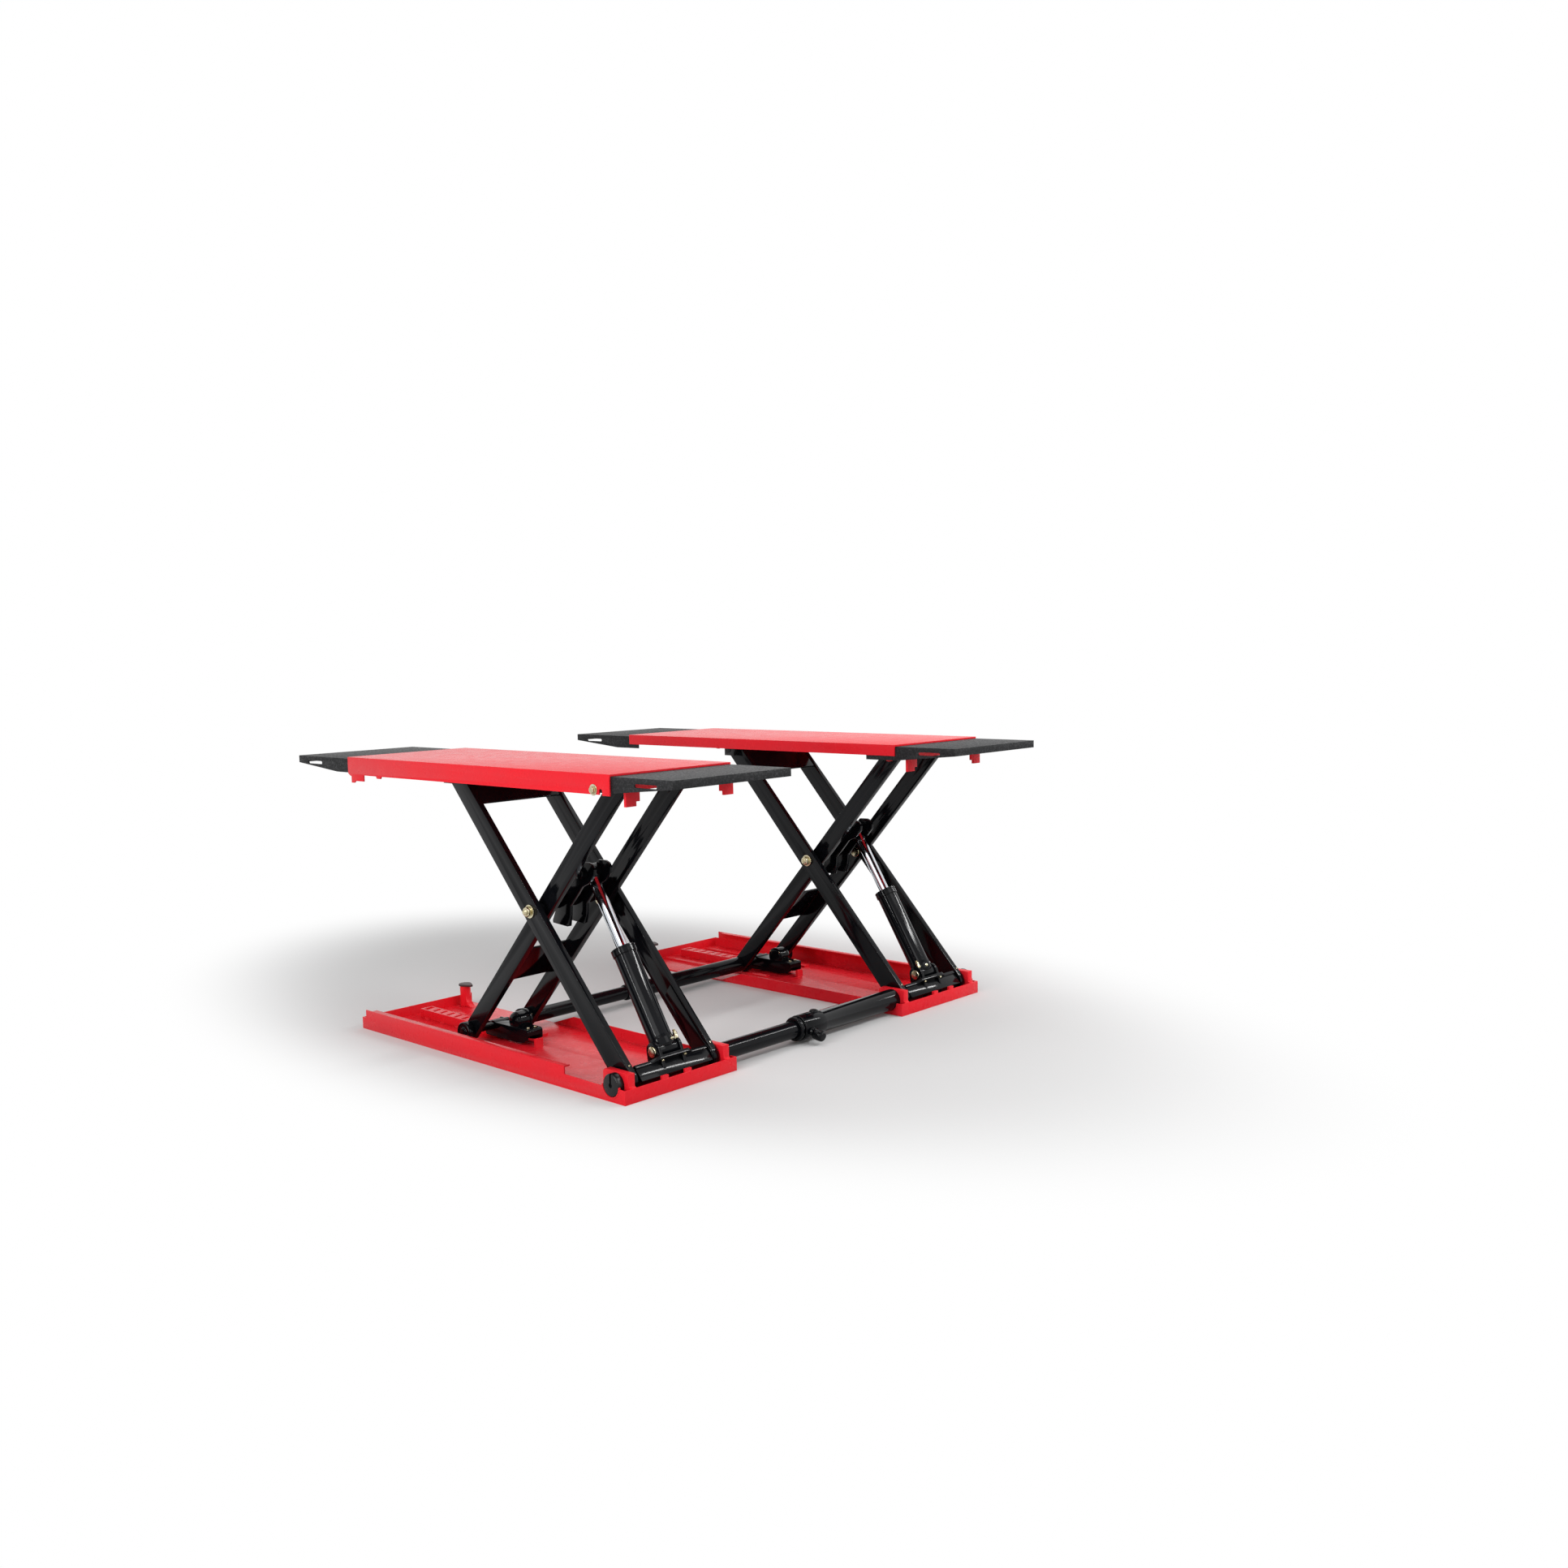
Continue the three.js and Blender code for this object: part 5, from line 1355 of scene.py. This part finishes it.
@dataclass
class CentreTubes:
    """Tubes that slide in each other between the units, and the clamp on the front pair."""

    collar_y: Pair = (-68.0, 40.0)
    screw_y: float = -35.0
    screw_lean_deg: float = 105.0
    bump_y: float = 18.0
    flutes: int = 8

    def build(self) -> None:
        """Models the tubes, the collar and its screw."""
        rear, front = Unit(Side.NEAR).pin("carriage_level"), Unit(Side.NEAR).pin("lift")
        self.tube("near_rear_tube", rear, lambda a, b: tube(20.0, 25.0, a, b))
        self.tube("far_rear_sleeve", rear,
                  lambda a, b: [(25.6, a), (28.5, a), (30.0, a + 1.5), (30.0, b), (25.6, b)])
        swell = [(38.3 + 4.2 * math.sin(math.radians(d)), 9.0 - 9.0 * math.cos(math.radians(d)))
                 for d in range(0, 181, 20)]
        self.tube("front_sleeve", front,
                  lambda a, b: [(30.6, a), *((r, a + y) for r, y in swell), (38.3, b), (30.6, b)])
        self.collar()
        self.screw()

    def tube(self, node: str, axis: Vector, profile: Callable[[float, float], Profile]) -> None:
        """Turns a tube over the length that its node has.

        Args:
            node: The node that it stands for.
            axis: A point of its axis.
            profile: Takes the two ends in millimetres and gives the outline.
        """
        low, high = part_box(node)
        made = self.lathe(profile(low.y / MM, high.y / MM), axis)
        stand_in(soften(made, 0.8, 1), node, Slot.BLACK)

    def lathe(self, profile: Profile, axis: Vector) -> Piece:
        """Turns a profile of radius and the frame's y round an axis across both units."""
        return turned(profile, Vector((axis.x, 0.0, axis.z)), Vector((0, 1, 0)), 72)

    def radial(self, profile: Profile, y_mm: float, lean_deg: float) -> Piece:
        """Turns a profile round a line that leans forward from upright, out of the tube's axis at y."""
        pivot = Unit(Side.NEAR).pin("lift")
        return turned(profile, Vector((pivot.x, y_mm * MM, pivot.z)), leaning(lean_deg), 48)

    def collar(self) -> None:
        """Clamp collar with its screw boss and the bump on top."""
        y0, y1 = self.collar_y
        ring = self.lathe([(39.2, y0), (42.5, y0), (44.0, y0 + 1.5), (44.0, y1 - 1.5), (42.5, y1),
                           (39.2, y1)], Unit(Side.NEAR).pin("lift"))
        boss = self.radial([(8.4, 41.0), (17.0, 41.0), (15.0, 45.0), (15.0, 51.0), (14.0, 52.0),
                            (8.4, 52.0)], self.screw_y, self.screw_lean_deg)
        bump = self.radial([(0, 41.0), (17.0, 41.0), (15.0, 46.0), (11.0, 49.0), (5.0, 50.0),
                            (0, 50.0)], self.bump_y, 0.0)
        stand_in(joined(soften(ring, 0.6, 1), soften(boss, 0.5, 1), soften(bump, 1.0, 2, 25)),
                 "clamp_collar", Slot.BLACK)

    def screw(self) -> None:
        """Clamp screw with a grip that has finger flutes."""
        stem = self.radial(tube(0, 8.0, 39.3, 58.0), self.screw_y, self.screw_lean_deg)
        grip = self.radial([(0, 56.9), (17.0, 56.9), (20.0, 59.0), (20.0, 66.0), (19.0, 80.0),
                            (17.0, 90.0), (14.0, 92.8), (0, 92.8)], self.screw_y, self.screw_lean_deg)
        pivot, way, side = Unit(Side.NEAR).pin("lift"), leaning(self.screw_lean_deg), Vector((0, 1, 0))
        foot = Vector((pivot.x, self.screw_y * MM, pivot.z))
        for i in range(self.flutes):
            turn = 2 * math.pi * i / self.flutes
            line = foot + (side * math.cos(turn) + way.cross(side) * math.sin(turn)) * (23.0 * MM)
            grip = combined(grip, bar(line + way * (62 * MM), line + way * (100 * MM), 5.0, 16))
        stand_in(joined(soften(grip, 0.8, 2, 40), stem), "clamp_screw", Slot.BLACK)


@dataclass(frozen=True)
class Lamp:
    """A soft area lamp; its turn is from facing straight down, its size along its x and y."""

    name: str
    place: Point
    turn_deg: Point
    size: Pair
    watts: float

    def build(self) -> None:
        """Hangs the lamp."""
        data = bpy.data.lights.new(self.name, "AREA")
        data.shape = "RECTANGLE"
        data.size, data.size_y = self.size
        data.energy = self.watts
        hang(data, self.place, self.turn_deg)


def hang(data: bpy.types.ID, place: Point, turn_deg: Point) -> Piece:
    """Puts a lamp or a camera in the scene.

    Args:
        data: Its data, which also names it.
        place: Where it goes.
        turn_deg: Its turn round x, y and z.

    Returns:
        The new object.
    """
    made = bpy.data.objects.new(data.name, data)
    made.location = place
    made.rotation_euler = [math.radians(a) for a in turn_deg]
    bpy.context.scene.collection.objects.link(made)
    return made


@dataclass
class Studio:
    """Pale floor in a white room, soft lamps and narrow strips, whose reflections draw the bright
    lines along glossy tubes, and the camera at the photograph's place."""

    camera_place: Point = (4.0177, -3.6857, 1.3603)
    camera_turn_deg: Point = (84.565, 1.232, 42.701)
    lens_mm: float = 33.53
    sensor_mm: float = 36.0
    clip_end: float = 200.0
    floor_size: float = 60.0
    # The floor's grey: its colour for bounced light, and a painted shadow pool round the lift inside
    # the ellipse set below, which fades to white at its edge
    floor_grey: float = 0.66
    pool_middle: Point = (-0.1, 0.15, 0.0)
    pool_reach: Point = (2.9, 1.7, 1.0)
    pool_edge: Pair = (0.5, 1.0)
    room_light: float = 0.4
    lamps: tuple[Lamp, ...] = (
        Lamp("key", (1.5, -4.5, 4.2), (51, 0, 20), (3.2, 3.2), 80.0),
        Lamp("fill", (5.2, 0.8, 3.0), (0, 60, 0), (3.0, 3.0), 54.0),
        Lamp("top", (-1.0, 1.5, 5.0), (-15, -10, 0), (4.0, 4.0), 70.0),
        Lamp("strip_far", (3.0, 3.2, 3.3), (0, 45, 0), (0.12, 5.0), 125.0),
        Lamp("strip_side", (0.6, -4.1, 1.5), (85, -30, 0), (0.1, 2.6), 55.0),
    )

    def build(self) -> None:
        """Makes the camera, floor, lamps and world."""
        data = bpy.data.cameras.new("photo_camera")
        data.lens, data.sensor_width, data.clip_end = self.lens_mm, self.sensor_mm, self.clip_end
        bpy.context.scene.camera = hang(data, self.camera_place, self.camera_turn_deg)
        self.floor()
        for lamp in self.lamps:
            lamp.build()
        self.world()

    def floor(self) -> None:
        """Makes the floor: a grey painted shadow pool round the lift, in which the lift's own shadow
        also falls, fading to even white.
        """
        deselect()
        bpy.ops.mesh.primitive_plane_add(size=self.floor_size, location=(0, 0, -0.2 * MM))
        floor = bpy.context.active_object
        floor.name = "studio_floor"
        made, tree, place = new_material("white_floor")
        # Painted shadow pool: grey lit floor inside the ellipse, fading to even white beyond it
        moved = add_node(tree, "ShaderNodeMapping", {
            "Vector": place, "Location": [-m / r for m, r in zip(self.pool_middle, self.pool_reach)],
            "Scale": [1 / r for r in self.pool_reach],
        })
        far = add_node(tree, "ShaderNodeVectorMath", {0: moved}, operation="LENGTH")
        edge = add_node(tree, "ShaderNodeMapRange", {
            "Value": far.outputs["Value"], "From Min": self.pool_edge[0], "From Max": self.pool_edge[1],
        }, interpolation_type="SMOOTHERSTEP")
        fade = add_node(tree, "ShaderNodeMath", {0: edge, 1: self.seen(tree)}, operation="MULTIPLY")
        matt = add_node(tree, "ShaderNodeBsdfDiffuse", {"Color": grey(self.floor_grey)})
        white = add_node(tree, "ShaderNodeEmission", {"Color": grey(1.0), "Strength": 1.0})
        shown = add_node(tree, "ShaderNodeMixShader", {"Fac": fade, 1: matt, 2: white})
        add_node(tree, "ShaderNodeOutputMaterial", {"Surface": shown})
        floor.data.materials.append(made)

    def seen(self, tree: Tree) -> Node:
        """One for rays that the camera sees, also by way of metal or glass, and zero for light.

        Args:
            tree: The node tree of the floor or the world.

        Returns:
            The node that gives it.
        """
        path = add_node(tree, "ShaderNodeLightPath").outputs
        mirrored = add_node(tree, "ShaderNodeMath", {
            0: path["Is Glossy Ray"], 1: path["Is Transmission Ray"],
        }, operation="MAXIMUM")
        return add_node(tree, "ShaderNodeMath", {0: path["Is Camera Ray"], 1: mirrored},
                        operation="MAXIMUM")

    def world(self) -> None:
        """White background, dimmer for the light that it gives."""
        world = bpy.data.worlds.new("studio_world")
        bpy.context.scene.world = world
        world.use_nodes = True
        tree = world.node_tree
        tree.nodes.clear()
        lit, white = (add_node(tree, "ShaderNodeBackground", {"Color": grey(1.0), "Strength": strength})
                      for strength in (self.room_light, 1.0))
        mixed = add_node(tree, "ShaderNodeMixShader", {"Fac": self.seen(tree), 1: lit, 2: white})
        add_node(tree, "ShaderNodeOutputWorld", {"Surface": mixed})


def main() -> None:
    """Builds the finishes, the studio and every sub-assembly in order."""
    logging.basicConfig(level=logging.INFO, format="%(name)s: %(message)s")
    bpy.context.scene.view_settings.view_transform = "Standard"
    for slot, finish in FINISHES.items():
        MATERIALS[slot] = finish.material()
    Studio().build()
    for side in Side:
        for assembly in (TraySet, LegSet, CrossingPin, RollerSet, CarriageSet, RamSet, FrontTubeSet,
                         DeckSet):
            assembly(Unit(side)).build()
    CentreTubes().build()


if __name__ == "__main__":
    main()
